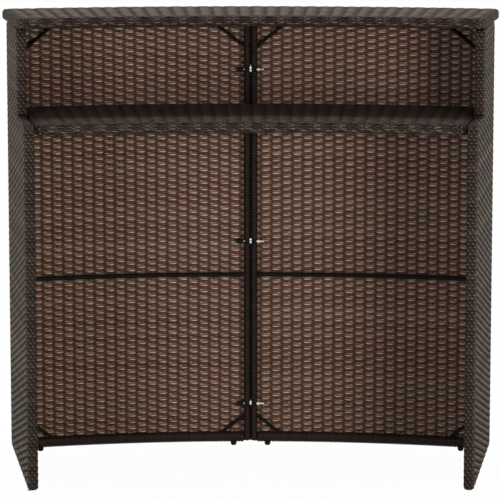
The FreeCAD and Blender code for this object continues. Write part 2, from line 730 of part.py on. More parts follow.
wing_frame = place_on_wing(group("wing_right_frame", wing_loop_tube))
joint_post = place_on_wing(cut("wing_right_joint_post", joint_post_tube, wing_loop_bar, wing_bolt_holes))
wing_crossbars = place_on_wing(cut("wing_right_crossbars", wing_crossbar_tubes, wing_loop_bar,
                                   joint_post_rod, bracket_wing_holes))
wing_skin = place_on_wing(cut("wing_right_weave", wing_cover, wing_bolt_holes, bracket_wing_holes))

# Counter top

def top_bar(angle):
    return tube(f"top_bar_tube_{angle}", "crossbar_radius", "top_crossbar_length", y="top_bar_start",
                z="top_middle", along="y")


top_loop_seat = ("0", "Layout.bow_centre + Layout.top_bar_start", "top_middle")
top_loop_bar, top_loop_tube = loop("top_loop", top_plate, "top_half", "top_middle", "z", "top_tube_radius",
                                   top_loop_seat, "x")
top_bars_right = group("top_bars_right", *[
    on_bow(f"top_bar_{angle}", top_bar(angle), angle) for angle in TOP_BOLT_ANGLES])
top_bars = group("top_bars", top_bars_right, mirror("top_bars_left", top_bars_right))
top_cover = skin("top_skin", top_plate, "Layout.under_top", "top_thickness", "z")

top_frame = group("top_frame", top_loop_tube)
top_crossbars = cut("top_crossbars", top_bars, top_loop_bar, top_holes)
top_skin = cut("top_weave", top_cover, top_holes)

# Shelf

def shelf_bar(place, side):
    """A tube from the near run of the shelf's frame to its back run."""
    x = f"{side} * Sizes.shelf_crossbar_pitch"
    start = f"Layout.shelf_near_centre + sqrt(Layout.shelf_near_path ^ 2 - ({x}) ^ 2)"
    end = f"Layout.bow_centre + sqrt(Layout.shelf_back_path ^ 2 - ({x}) ^ 2)"
    return tube(f"shelf_bar_{place}", "crossbar_radius", f"{end} - ({start})", x, start, "shelf_middle", "y")


shelf_loop_seat = ("0", "Layout.shelf_near_centre + Layout.shelf_near_path", "shelf_middle")
shelf_loop_bar, shelf_loop_tube = loop("shelf_loop", shelf_plate, "shelf_half", "shelf_middle", "z",
                                       "shelf_tube_radius", shelf_loop_seat, "x")
shelf_bars = group("shelf_bars", *[
    shelf_bar(place, side) for place, side in (("left", -1), ("middle", 0), ("right", 1))])
shelf_cover = skin("shelf_skin", shelf_plate, "Layout.under_shelf", "shelf_thickness", "z")

shelf_frame = cut("shelf_frame", shelf_loop_tube, shelf_holes)
shelf_crossbars = cut("shelf_crossbars", shelf_bars, shelf_loop_bar)
shelf_skin = cut("shelf_weave", shelf_cover, shelf_holes)

# Fasteners

centre_bolts = group("centre_bolts", *[
    cylinder(f"centre_bolt_{height}", "bolt_radius", "centre_bolt_length", "centre_bolt_start",
             "inner_post_y", height, "x") for height in BOLT_HEIGHTS])


def knob(height):
    outside = cylinder(f"knob_outside_{height}", "Sizes.knob_diameter / 2", "knob_length",
                       "-(Layout.seam_side + Sizes.knob_length)", "inner_post_y", height, "x")
    socket = cylinder(f"knob_socket_{height}", "bolt_radius", "knob_socket_depth", "centre_bolt_start",
                      "inner_post_y", height, "x")
    return cut(f"knob_{height}", outside, socket)


def nut(height):
    blank = bind(add("Part::Prism", f"nut_blank_{height}"), Circumradius="Sizes.nut_across_corners / 2",
                 Height="nut_height")
    blank.Polygon = 6
    blank.Placement = Placement(Vector(), ALONG["x"])
    shift(blank, "seam_side", "inner_post_y", height)
    thread = cylinder(f"nut_thread_{height}", "bolt_radius", "nut_height", "seam_side", "inner_post_y",
                      height, "x")
    return cut(f"nut_{height}", blank, thread)


centre_knobs = group("centre_knobs", *[knob(height) for height in BOLT_HEIGHTS])
centre_nuts = group("centre_nuts", *[nut(height) for height in BOLT_HEIGHTS])
wing_bolts = place_on_wing(group("wing_bolts_right", *[
    bolt(f"wing_bolt_{height}", "wing_bolt_length", "wing_bolt_seat", "outer_post_along", height, "x")
    for height in BOLT_HEIGHTS]))


def top_bolt(angle):
    return bolt(f"top_bolt_{angle}", "top_bolt_length", y="front_radius", z="top_bolt_seat")


top_bolts = group("top_bolts_right", *[
    on_bow(f"top_bolt_place_{angle}", top_bolt(angle), angle) for angle in TOP_BOLT_ANGLES])


def bracket(place):
    """An angle bracket between the wing and the shelf's underside."""
    near = f"{term(place)} - Sizes.bracket_width / 2"
    upright = box(f"bracket_upright_{place}", "bracket_thickness", "bracket_width", "bracket_leg",
                  "bracket_side", near, "bracket_bottom")
    arm = box(f"bracket_arm_{place}", "bracket_leg", "bracket_width", "bracket_thickness",
              "-(Sizes.wing_thickness + Sizes.bracket_leg)", near, "bracket_under")
    return fuse(f"bracket_{place}", upright, arm)


bracket_blanks = group("bracket_blanks", *[bracket(place) for place in BRACKET_PLACES])
brackets = place_on_wing(cut("shelf_brackets_right", bracket_blanks, bracket_wing_holes,
                             bracket_shelf_holes))
bracket_bolts = place_on_wing(group("shelf_bolts_right", *[
    item for place in BRACKET_PLACES for item in (
        bolt(f"bracket_wing_bolt_{place}", "bracket_bolt_length", "bracket_side", place,
             "bracket_bolt_height", "x"),
        bolt(f"bracket_shelf_bolt_{place}", "shelf_bolt_length", "bracket_bolt_side", place,
             "bracket_under"))]))

# Nodes: right-hand pieces with their twins, and the pieces that are whole by themselves

right_hand = [*posts, *rails, mid_rail, braces, binding, sheet, glides, wing_frame, joint_post,
              wing_crossbars, wing_skin, wing_bolts, top_bolts, brackets, bracket_bolts]
left_hand = [mirror(item.Label.replace("right", "left"), item) for item in right_hand]
whole = [top_frame, top_crossbars, top_skin, shelf_frame, shelf_crossbars, shelf_skin, centre_bolts,
         centre_knobs, centre_nuts]
nodes = right_hand + left_hand + whole
doc.recompute()

for item in doc.Objects:
    if "Invalid" in item.State or "Error" in item.State:
        raise RuntimeError(f"{item.Label} failed: {item.State}")
for item in nodes:
    if item.Shape.isNull() or not item.Shape.isValid() or not item.Shape.Solids:
        raise RuntimeError(f"{item.Label} has no valid solid")

os.makedirs("parts", exist_ok=True)
for item in nodes:
    item.Shape.exportStep(f"parts/{item.Label}.step")
    print(item.Label, len(item.Shape.Solids), round(item.Shape.Volume))
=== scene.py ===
"""Bowed rattan bar table: woven covers, wound binding, finishes and a plain studio round the frame."""
import json
import math
from contextlib import contextmanager
from functools import partial

import bmesh
import bpy
import numpy as np
from bpy.props import FloatProperty, FloatVectorProperty, IntProperty, PointerProperty
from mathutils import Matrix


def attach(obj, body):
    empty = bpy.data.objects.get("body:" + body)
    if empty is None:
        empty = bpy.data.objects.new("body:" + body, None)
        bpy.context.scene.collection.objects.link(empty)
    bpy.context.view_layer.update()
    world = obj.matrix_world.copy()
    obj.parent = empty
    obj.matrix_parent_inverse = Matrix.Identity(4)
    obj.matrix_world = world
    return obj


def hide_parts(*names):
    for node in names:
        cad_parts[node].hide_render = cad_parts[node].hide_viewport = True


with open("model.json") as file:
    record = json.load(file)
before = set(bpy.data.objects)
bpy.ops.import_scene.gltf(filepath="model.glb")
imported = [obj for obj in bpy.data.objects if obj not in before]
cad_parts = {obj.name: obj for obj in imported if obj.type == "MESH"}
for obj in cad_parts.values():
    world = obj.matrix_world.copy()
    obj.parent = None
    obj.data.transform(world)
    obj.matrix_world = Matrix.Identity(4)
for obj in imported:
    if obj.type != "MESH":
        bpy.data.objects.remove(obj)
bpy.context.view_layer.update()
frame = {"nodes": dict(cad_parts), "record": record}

bl_info = {
    "name": "Rattan bar table",
    "version": (1, 0, 0),
    "blender": (4, 5, 0),
    "location": "3D View > Sidebar > Bar",
    "description": "Weaves the covers of a bowed bar table and sets it in a plain studio",
    "category": "Object",
}

SIDES = {"left": -1, "right": 1}
UP = np.array((0.0, 0.0, 1.0))
QUARTER = math.pi / 2

# Height up to which a point of a strand's unit section lies on its middle
ON_MIDDLE = 0.1

# Distances in which points count as one
SAME_PLACE = 1e-5
WELD_REACH = 2e-5
REPEAT_REACH = 1e-4

# Sides of a strand's section, and the most sides of an open end that is filled
STRAND_SIDES = 6
STRAND_SIDES_MOST = 8

# Power that fills out a strand's waves, and its rings from stake to stake
SWING_POWER = 0.6
COVER_RINGS = 3
SHEET_RINGS = 4

# Sides of a wound tube, and cuts along each of its turns
TUBE_SIDES = 14
TURN_CUTS = 3

# Inset at which a row begins at a rounded corner, and the least rounding of its ends
CORNER_START = 0.0004
LEAST_RADIUS = 1e-6

# Rounds that settle where a row of the shelf ends at a wing
END_ROUNDS = 4

# Random draws: a key for each left piece, the next one for its right twin
SHEET_KEY = 0
STAKE_KEY = 10
BINDING_KEY = 20
WING_KEY = 30
TOP_KEY = 40
SHELF_KEY = 41

# Tones drawn, more than any piece has rows, stakes or turns
ROW_TONES = 200
STAKE_TONES = 60
TURN_TONES = 400

# Step along the streaks from row to row and from turn to turn, so that no two are alike
ROW_OFFSET = 32
TURN_OFFSET = 5.3

# Shift of the tones where a second part of a piece draws on the same ones
UPPER_SHIFT = -11
RAIL_SHIFT = 17

# Rings of a domed end: share of the dome's height, and width against the ring before
DOME_RINGS = ((1 / 2, 0.88), (1 / 3, 0.7), (1 / 6, 0.45))


# Settings

def length(text, default):
    return FloatProperty(description=text, default=default, unit="LENGTH", precision=4)


def angle(text, degrees):
    return FloatProperty(description=text, default=math.radians(degrees), subtype="ANGLE")


def power(text, watts):
    return FloatProperty(description=text, default=watts, unit="POWER")


def number(text, default):
    return FloatProperty(description=text, default=default)


def count(text, default):
    return IntProperty(description=text, default=default)


def colour(text, default):
    return FloatVectorProperty(description=text, default=default, subtype="COLOR", size=3)


def place(text, default):
    return FloatVectorProperty(description=text, default=default, subtype="TRANSLATION", size=3)


class BAR_PG_weave(bpy.types.PropertyGroup):
    """Sizes of the strands and of their weave"""
    row_pitch: length("Distance between neighbouring strands", 0.00805)
    stake_pitch: length("Distance between neighbouring stakes", 0.0255)
    cover_stake_pitch: length("Distance between the stakes of the covers", 0.0315)
    edge_stakes: count("Stakes round a panel's edge", 6)
    cover_narrow: number("Half width of a cover's strand between stakes, in rows", 0.52)
    cover_wide: number("Half width of a cover's strand over a stake, in rows", 0.62)
    sheet_narrow: number("Half width of a sheet's strand between stakes, in rows", 0.70)
    sheet_wide: number("Half width of a sheet's strand over a stake, in rows", 0.78)
    tilt: number("Drop of a strand from stake to stake, in rows", 0.08)
    cover_wave: length("Rise of a strand over a stake in the closed covers", 0.0024)
    top_relief: number("Share of the weave's rise that the counter top's face shows", 0.85)
    shelf_relief: number("Share of the weave's rise that the shelf's face shows", 0.4)
    wing_relief: number("Share of the weave's rise that the wings' faces show", 1.0)
    # Painted shade: how fast the wings' strands are darkened in colour towards their dips
    wing_steep: number("How fast the wings' strands darken towards their dips", 3.0)
    edge_calm: number("Share of the weave's rise that is left round a cover's edges", 0.3)
    edge_run: number("Stakes over which the weave rises from a row's ends", 0.6)
    rim_rows: number("Rows over which the weave rises from a rim", 2.0)
    rim_start: number("Start of that rise off the rim, in rim rows", 0.9)
    # Painted highlights: dashes of pale crest colour along a cover's rims, and how far in from a rim they
    # reach
    dash_reach: number("Share of that rise that still has rim dashes", 0.3)
    rim_highlight_dashes: number("Worn crests on each stake's length of a cover's rims", 1.4)
    # Painted shade: the strands round a cover's edges and along its rims are darkened in colour, as they
    # catch less light
    edge_painted_shade: number("Light that the denser strands round a cover's edges give back", 0.62)
    cover_strand: length("Thickness of a strand in the closed covers", 0.0032)
    cover_depth: length("Depth of the middle of the weave under a cover's face", 0.0028)
    lining_depth: length("Depth of the dark lining under a cover's face", 0.0044)
    sheet_wave: length("Rise of a strand over a stake in the front sheets", 0.003)
    sheet_strand: length("Thickness of a strand in the front sheets", 0.0015)
    stake_width: length("Width of a stake of the front sheets", 0.005)
    # Painted shade: the stakes, seen only in the gaps between floats, are darkened in colour and set in a
    # strand's shaded border, where no painted highlight falls
    stake_shade: number("Light that the stakes of the front sheets give back", 0.8)
    stake_border: number("Place of a stake across a strand's tones, towards its dark border", 0.45)
    # Painted shade: the dark lining stands for the shaded inside of a cover
    lining_shade: number("Light that the lining under a cover gives back", 0.15)
    turn_pitch: length("Distance between neighbouring turns of the binding", 0.0072)
    turn_valley: number("Radius between two turns, as a share of the binding's radius", 0.87)
    seed: count("Start of the random strand tones", 7)


class BAR_PG_shape(bpy.types.PropertyGroup):
    """Sizes that the covers share with the frame"""
    bow_centre: length("Place of the bow's centre along the depth", -1.8025)
    floor_gap: length("Height of the front panels' lower edge", 0.0115)
    front_top: length("Height of the front panels' upper edge", 1.0747)
    front_radius: length("Radius of the front panels' tubes in plan", 2.007)
    sheet_radius: length("Radius of the middle of the front sheets", 2.0171)
    sheet_start: angle("Plan angle of a sheet's edge at the seam", 0.0)
    sheet_end: angle("Plan angle of a sheet's edge at the wing", 16.3289)
    binding_radius: length("Outside radius of the wound posts and rails", 0.0087)
    rail_half: length("Half height of the wound bottom rails", 0.0135)
    rail_raise: length("Rise of the wound bottom rails over their tubes", 0.002)
    top_rail_half: length("Half height of the wound top rails", 0.0105)
    inner_post: place("Foot of the right inner post's axis", (0.0088, 0.20448, 0.0))
    outer_post: place("Foot of the right outer post's axis", (0.5577, 0.12546, 0.0))
    inner_post_angle: angle("Plan angle of the inner post", 0.2512)
    outer_post_angle: angle("Plan angle of the outer post", 16.1335)
    bolt_heights: place("Heights of the seam's three bolts", (0.107, 0.52, 0.95))
    window_half: length("Half height of the seam's windows at the bolts", 0.0055)
    window_radius: length("Radius of the binding in the windows", 0.0062)
    dome: length("Height of the domed ends of the wound posts", 0.006)
    edge_radius: length("Rounding of the panels' rims", 0.008)
    bend_radius: length("Bend of the frame tubes at the panels' corners", 0.014)
    foot_radius: length("Rounding of the wings' near feet", 0.0135)
    wing_foot: place("Near outer corner of the right wing", (0.525, -0.3036339, 0.0))
    wing_splay: angle("Turn of the wings about the vertical", 8.8357)
    wing_half: length("Half of a wing's thickness", 0.0125)
    wing_length: length("Depth of a wing along itself", 0.5110648)
    wing_upper_start: length("Setback of a wing's upper part", 0.1970648)
    wing_step_radius: length("Rounding in the wing's step", 0.005)
    wing_step_cover: length("Run of a wing's upper weave under the step", 0.012)
    wing_lap: length("Lap of a wing's upper cover into its lower one", 0.06)
    under_top: length("Height of the counter top's underside", 1.075)
    top_half: length("Half of the counter top's thickness", 0.0125)
    top_near_radius: length("Radius of the counter top's near edge", 1.7728093)
    top_far_radius: length("Radius of the counter top's far edge", 2.105)
    top_end_angle: angle("Lean of the counter top's ends in plan", 11.0763)
    top_end_distance: length("Distance of the end lines from the origin", 0.5646337)
    shelf_height: length("Height of the shelf's face", 0.867)
    shelf_half: length("Half of the shelf's thickness", 0.013)
    shelf_near_centre: length("Centre of the shelf's near bow", -2.2055)
    shelf_near_radius: length("Radius of the shelf's near edge", 1.975)
    shelf_back_radius: length("Radius of the shelf's back edge", 1.9957)
    shelf_end_distance: length("Distance of the end lines from the origin", 0.5401082)


class BAR_PG_finish(bpy.types.PropertyGroup):
    """Colours of the finishes"""
    sheet_brown: colour("Usual strand of the front sheets", (0.158, 0.088, 0.058))
    sheet_dark: colour("Darkest strand of the front sheets", (0.115, 0.060, 0.038))
    sheet_red: colour("Reddish strand of the front sheets", (0.165, 0.082, 0.058))
    sheet_olive: colour("Greenish strand of the front sheets", (0.155, 0.104, 0.066))
    sheet_pale: colour("Palest strand of the front sheets", (0.195, 0.122, 0.090))
    # Painted highlights: the pale colours laid on the crests of the sheets' and the covers' strands where
    # light glints
    sheet_highlight: colour("Worn crest of a sheet's strand", (0.52, 0.40, 0.33))
    cover_highlight: colour("Worn crest of a cover's strand", (0.145, 0.134, 0.12))
    cover_brown: colour("Usual strand of the covers", (0.050, 0.034, 0.026))
    cover_dark: colour("Darkest strand of the covers", (0.028, 0.019, 0.015))
    cover_plum: colour("Purplish strand of the covers", (0.050, 0.032, 0.031))
    cover_olive: colour("Greenish strand of the covers", (0.052, 0.042, 0.030))
    cover_pale: colour("Palest strand of the covers", (0.080, 0.060, 0.050))
    binding_strand: colour("Strand of the binding", (0.0124, 0.0074, 0.0055))
    paint: colour("Powder coat of the bare tubes", (0.004, 0.004, 0.004))
    moulding: colour("Plastic of the glides and knobs", (0.006, 0.006, 0.006))
    zinc: colour("Plating of the bolts and nuts", (0.62, 0.57, 0.44))


class BAR_PG_studio(bpy.types.PropertyGroup):
    """Camera and light"""
    camera_place: place("Place of the camera", (-0.01223, -7.19305, 1.63739))
    camera_pitch: angle("Tilt of the camera below the horizon", 8.759)
    camera_yaw: angle("Turn of the camera towards the right", 0.083)
    lens: number("Focal length in millimetres", 215.71)
    key_power: power("Power of the key light", 200)
    fill_power: power("Power of the fill light", 110)
    top_power: power("Power of the top light", 195)
    side_power: power("Power of each side light", 270)
    key_place: place("Place of the key light", (2.9, -5.2, 0.95))
    fill_place: place("Place of the fill light", (-3.1, -5.2, 0.95))
    top_place: place("Place of the top light", (0.0, 1.6, 3.9))
    side_place: place("Place of the right side light", (5.5, 0.3, 0.6))
    lit_place: place("Place that every light points at", (0.0, 0.0, 0.55))
    front_size: length("Width of the key light and of the fill light", 1.7)
    top_size: length("Width of the top light", 2.5)
    side_size: length("Width of each side light", 1.1)
    fill_tint: colour("Tint of the fill light", (0.94, 1.0, 1.14))
    side_tint: colour("Tint of the side lights", (0.82, 1.0, 0.93))
    ambient: number("Strength of the light from all round", 0.26)
    floor_size: length("Width of the floor", 60)
    floor_near: length("Distance up to which the floor shows most shadow", 0.4)
    floor_far: length("Distance from which the floor is white", 1.8)
    floor_glow: number("Share of plain white in the floor under the bar", 0.975)
    sight: length("Distance that the camera sees", 200)


# Selection and modelling helpers

def settings():
    """The weave's settings and the shape's."""
    scene = bpy.context.scene
    return scene.bar_weave, scene.bar_shape


@contextmanager
def editing():
    """Work on the active piece in edit mode."""
    bpy.ops.object.mode_set(mode="EDIT")
    yield
    bpy.ops.object.mode_set(mode="OBJECT")


def start_afresh():
    bpy.ops.object.select_all(action="DESELECT")


def select_only(piece, *others):
    """Select pieces and make the first one active."""
    start_afresh()
    for one in (piece, *others):
        one.select_set(True)
    bpy.context.view_layer.objects.active = piece


def pick_points(piece, wanted):
    """In edit mode, select the points that pass a test of their place."""
    shape = bmesh.from_edit_mesh(piece.data)
    bpy.ops.mesh.select_all(action="DESELECT")
    for point in shape.verts:
        point.select_set(wanted(point.co))
    shape.select_flush(True)
    bmesh.update_edit_mesh(piece.data)


def pick_edges(piece, wanted):
    """In edit mode, select the edges that pass a test of their run."""
    shape = bmesh.from_edit_mesh(piece.data)
    bpy.ops.mesh.select_all(action="DESELECT")
    for edge in shape.edges:
        edge.select_set(wanted(edge.verts[1].co - edge.verts[0].co))
    bmesh.update_edit_mesh(piece.data)


def repeat(piece, count, step, merge):
    """Repeat a piece along a step and keep the result."""
    bpy.context.view_layer.objects.active = piece
    array = piece.modifiers.new("repeat", "ARRAY")
    array.count = count
    array.use_relative_offset = False
    array.use_constant_offset = True
    array.constant_offset_displace = step
    array.use_merge_vertices = merge
    array.merge_threshold = REPEAT_REACH
    bpy.ops.object.modifier_apply(modifier=array.name)


def join(main, *others):
    select_only(main, *others)
    bpy.ops.object.join()
    return main


def weld(piece):
    """Merge the points that meet at a seam."""
    select_only(piece)
    with editing():
        bpy.ops.mesh.select_all(action="SELECT")
        bpy.ops.mesh.remove_doubles(threshold=WELD_REACH)


def close_ends(piece):
    """Cap the open ends of strands."""
    select_only(piece)
    with editing():
        bpy.ops.mesh.select_all(action="SELECT")
        bpy.ops.mesh.fill_holes(sides=STRAND_SIDES_MOST)


def points_of(piece):
    flat = np.empty(len(piece.data.vertices) * 3)
    piece.data.vertices.foreach_get("co", flat)
    return flat.reshape(-1, 3)


def move_points(piece, places):
    piece.data.vertices.foreach_set("co", places.ravel())
    piece.data.update()


def note(piece, **values):
    """Keep values for each point, for the finishes to read."""
    for name, value in values.items():
        layer = piece.data.attributes.new(name, "FLOAT", "POINT")
        each = np.broadcast_to(value, len(piece.data.vertices))
        layer.data.foreach_set("value", np.ascontiguousarray(each, dtype=np.float32))


def noted(piece, name):
    values = np.empty(len(piece.data.vertices), dtype=np.float32)
    piece.data.attributes[name].data.foreach_get("value", values)
    return values


def hand_over(piece, name, slot, finish, *nodes):
    """Name a finished piece, give it its finish and let it stand for its nodes."""
    piece.name = name
    piece.data.name = name
    piece.data.materials.clear()
    piece.data.materials.append(finish)
    select_only(piece)
    bpy.ops.object.shade_smooth()
    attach(piece, "root")
    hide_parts(*nodes)


# Strands: modelled flat, one stake wide along X, one row pitch along Y, in metres along Z

def swing(stake_place):
    """Height of a strand, from -1 behind a stake to 1 in front of it."""
    wave = math.sin(math.pi * stake_place)
    return math.copysign(abs(wave) ** SWING_POWER, wave)


def model_strand(rings, wave, thickness, narrow, wide, flat_back):
    """One strand over two stakes, extruded ring by ring."""
    tilt = settings()[0].tilt

    def spread(stake_place):
        return narrow + (wide - narrow) * abs(swing(stake_place))

    def middle(stake_place):
        return stake_place, tilt * math.cos(math.pi * stake_place), wave * swing(stake_place)

    start_afresh()
    bpy.ops.mesh.primitive_circle_add(vertices=STRAND_SIDES, radius=1, rotation=(0, QUARTER, 0))
    strand = bpy.context.object
    bpy.ops.object.transform_apply(location=False, rotation=True, scale=False)
    half_height = thickness / 2 / math.sin(math.pi / 3)
    with editing():
        if flat_back:
            pick_points(strand, lambda point: point.z < -ON_MIDDLE)
            bpy.ops.mesh.delete(type="VERT")
            pick_points(strand, lambda point: abs(point.z) < ON_MIDDLE)
            bpy.ops.mesh.edge_face_add()
        bpy.ops.mesh.select_all(action="SELECT")
        bpy.ops.transform.resize(value=(1, spread(0), half_height), center_override=(0, 0, 0))
        bpy.ops.transform.translate(value=middle(0))
        for ring in range(1, 2 * rings + 1):
            before = (ring - 1) / rings
            here = ring / rings
            step = np.subtract(middle(here), middle(before))
            bpy.ops.mesh.extrude_region_move(TRANSFORM_OT_translate={"value": step})
            widening = spread(here) / spread(before)
            bpy.ops.transform.resize(value=(1, widening, 1), center_override=middle(here))
        bpy.ops.mesh.select_all(action="SELECT")
        bpy.ops.mesh.normals_make_consistent(inside=False)
    return strand


def pair_strands(strand, closed):
    """Lay a second strand beside the first, with its floats over the other stakes."""
    points = len(strand.data.vertices)
    with editing():
        bpy.ops.mesh.select_all(action="SELECT")
        bpy.ops.mesh.duplicate_move(TRANSFORM_OT_translate={"value": (1 if closed else 0, 1, 0)})
        if not closed:
            bpy.ops.transform.rotate(value=math.pi, orient_axis="X", center_override=(0, 1, 0))
    note(strand, second=[0] * points + [1] * points)
    return strand


def flat_weave(stakes, rows, strand, closed):
    """A flat weave of strands over stakes, with an even number of both."""
    sheet = pair_strands(model_strand(*strand, closed), closed)
    repeat(sheet, stakes // 2, (2, 0, 0), True)
    repeat(sheet, rows // 2, (0, 2, 0), False)
    return sheet


def flat_strip(stakes, strand):
    """A single flat strand over a run of stakes."""
    strip = model_strand(*strand, True)
    note(strip, second=0)
    repeat(strip, stakes // 2, (2, 0, 0), True)
    return strip


def lay(piece, surface, first_row, tones, wide, way=1, sink=0.0, calm=1.0, steep=1.0, shade=1.0):
    """Carry a flat weave onto a surface and keep each strand's tone, run and lift, which sets painted shade
    and painted highlights.

    A weave without a sink shows both its faces; in one that is sunk, what lies low gets painted shade.
    """
    flat = points_of(piece)
    second = noted(piece, "second")
    row = second + 2 * np.round((flat[:, 1] - second) / 2)
    points, normals = surface(flat[:, 0], flat[:, 1] + first_row)
    height = (flat[:, 2] - sink) * calm
    move_points(piece, points + normals * height[:, None])
    lift = flat[:, 2] / flat[:, 2].max()
    lift = np.clip(lift, 0, 1) ** steep if sink else np.abs(lift)
    # The lift sets the painted shade in the dips and the strength of the painted highlights on the crests
    note(piece, tone=tones[row.astype(int) + first_row], across=(flat[:, 1] - row) / (2 * wide),
         along=way * flat[:, 0] + ROW_OFFSET * (row + first_row), shade=shade,
         lift=1 - np.sqrt(calm) * (1 - lift))
    piece.data.attributes.remove(piece.data.attributes["second"])
    return piece


def line_with(surface, stakes, first_row, last_row):
    """A dark lining under a weave, painted shade that stands for the cover's shaded inside, so that only
    shade shows between the strands.
    """
    weave = settings()[0]
    rows = last_row - first_row
    start_afresh()
    bpy.ops.mesh.primitive_grid_add(x_subdivisions=stakes, y_subdivisions=rows, size=1)
    lining = bpy.context.object
    with editing():
        bpy.ops.mesh.select_all(action="SELECT")
        bpy.ops.transform.resize(value=(stakes, rows, 1))
        bpy.ops.transform.translate(value=(stakes / 2, (last_row + first_row) / 2, 0))
    flat = points_of(lining)
    points, normals = surface(flat[:, 0], flat[:, 1])
    move_points(lining, points - normals * weave.lining_depth)
    note(lining, tone=0, across=0, along=0, shade=weave.lining_shade, lift=1)
    weld(lining)
    return lining


# Surfaces of the closed covers

def rim(way, span, half, edge):
    """Follow a plate's profile from the middle of one rim to the middle of the other.

    Gives the inset from the first rim, the half thickness, and the normal's parts across and off the face.
    """
    flat = half - edge
    arc = edge * QUARTER
    total = profile_length(span, half, edge)
    far = way > total / 2
    near_way = np.where(far, total - way, way)
    side = np.where(near_way < 0, -1.0, 1.0)
    near_way = np.abs(near_way)
    turned = np.clip((near_way - flat) / edge, 0, QUARTER)
    thick = side * np.where(near_way < flat, near_way, flat + edge * np.sin(turned))
    inset = edge * (1 - np.cos(turned)) + np.maximum(near_way - flat - arc, 0)
    inset = np.where(far, span - inset, inset)
    return inset, thick, np.cos(turned) * np.where(far, 1, -1), np.sin(turned)


def profile_length(span, half, edge):
    return 2 * (half - edge + edge * QUARTER - edge) + span


def corner_cut(inset, span, radius):
    """How far a rounded corner draws in a row's end."""
    least = np.maximum(np.minimum(inset, span - inset), CORNER_START)
    gap = np.clip(radius - least, 0, radius)
    return radius - np.sqrt(radius ** 2 - gap ** 2)


def walk_round(stake_place, faces, edges, start, end, thick, edge):
    """Walk round a plate's section: one face, an edge, the other face and the other edge.

    Gives the place along the row, the height off the middle, and the normal's parts along and off the face.
    """
    u = np.mod(stake_place, 2 * (faces + edges))
    radius = np.maximum(np.minimum(edge, np.abs(thick)), LEAST_RADIUS)
    low = start + radius
    high = end - radius
    back = u >= faces + edges
    step = np.where(back, u - faces - edges, u)
    on_edge = step > faces
    share = np.clip(step / faces, 0, 1)
    straight = 2 * (np.abs(thick) - radius)
    arc = radius * QUARTER
    gone = np.clip((step - faces) / edges, 0, 1) * (2 * arc + straight)
    turned = np.clip(gone / radius, 0, QUARTER) + np.clip((gone - arc - straight) / radius, 0, QUARTER)
    dropped = np.clip(gone - arc, 0, straight)
    sign = np.where(back, -1.0, 1.0)
    face_place = np.where(back, high + (low - high) * share, low + (high - low) * share)
    edge_place = np.where(back, low, high) + sign * radius * np.sin(turned)
    height = sign * np.where(on_edge, thick - radius - dropped + radius * np.cos(turned), thick)
    return (np.where(on_edge, edge_place, face_place), height, sign * np.sin(turned) * on_edge,
            sign * np.where(on_edge, np.cos(turned), 1.0))


def stack(*parts):
    return np.stack(np.broadcast_arrays(*parts), axis=-1)


def cover_rows(span, half):
    """Odd number of row steps that a plate's profile takes, and their pitch."""
    weave, shape = settings()
    total = profile_length(span, half, shape.edge_radius)
    steps = 2 * round((total / weave.row_pitch - 1) / 2) + 1
    return steps, total / steps


def even(value):
    return 2 * round(value / 2)


class Cover:
    """A closed woven cover: loops of strand round a plate, and one strand along each rim."""

    def __init__(self, span, half, face_length, relief, way=1, steep=1.0):
        weave, shape = settings()
        self.relief = relief
        self.way = way
        self.steep = steep
        self.span = span
        self.half = half
        self.edge = shape.edge_radius
        self.edges = weave.edge_stakes
        self.faces = even(face_length / weave.cover_stake_pitch)
        self.steps, self.pitch = cover_rows(span, half)

    def frame_at(self, stake_place, row_place, ends):
        inset, thick, out, face = rim(row_place * self.pitch, self.span, self.half, self.edge)
        start, end = ends(inset)
        q, height, lean, off = walk_round(stake_place, self.faces, self.edges, start, end, thick, self.edge)
        return inset, q, height, face * lean, out, face * off

    def weave(self, surface, tones, first_row=1, with_rims=True):
        weave = settings()[0]
        rows = even(self.steps - first_row)
        stakes = 2 * (self.faces + self.edges)
        strand = (COVER_RINGS, weave.cover_wave, weave.cover_strand, weave.cover_narrow, weave.cover_wide)
        flat = flat_weave(stakes, rows, strand, True)
        stake, row = points_of(flat)[:, :2].T
        on_face = np.mod(self.way * stake, self.faces + self.edges)
        from_edge = np.minimum(on_face, self.faces - on_face) / weave.edge_run
        rows_in = np.minimum(row + first_row, self.steps - first_row - row)
        from_rim = rows_in / weave.rim_rows - weave.rim_start
        inwards = np.minimum(from_edge, from_rim)
        calm = np.interp(inwards, (0, 1), (weave.edge_calm, self.relief))
        # Painted shade: the colour darkens towards a cover's edges and rims
        shade = np.interp(inwards, (0, 1), (weave.edge_painted_shade, 1))
        # Painted highlights: finer dashes near the rims
        dashes = np.where(from_rim < weave.dash_reach, weave.rim_highlight_dashes, 1)
        body = lay(flat, surface, first_row, tones, weave.cover_wide, dashes, weave.cover_depth, calm,
                   self.steep, shade)
        parts = [line_with(surface, stakes, first_row - 1, self.steps)]
        for rim_row in (0, self.steps) if with_rims else ():
            # Rim strands get the edges' painted shade and the rims' painted highlight dashes
            strip = lay(flat_strip(self.faces, strand), surface, rim_row, tones, weave.cover_wide,
                        weave.rim_highlight_dashes, weave.cover_depth, weave.edge_calm, self.steep, weave.edge_painted_shade)
            close_ends(strip)
            parts.append(strip)
        weld(body)
        return join(body, *parts)


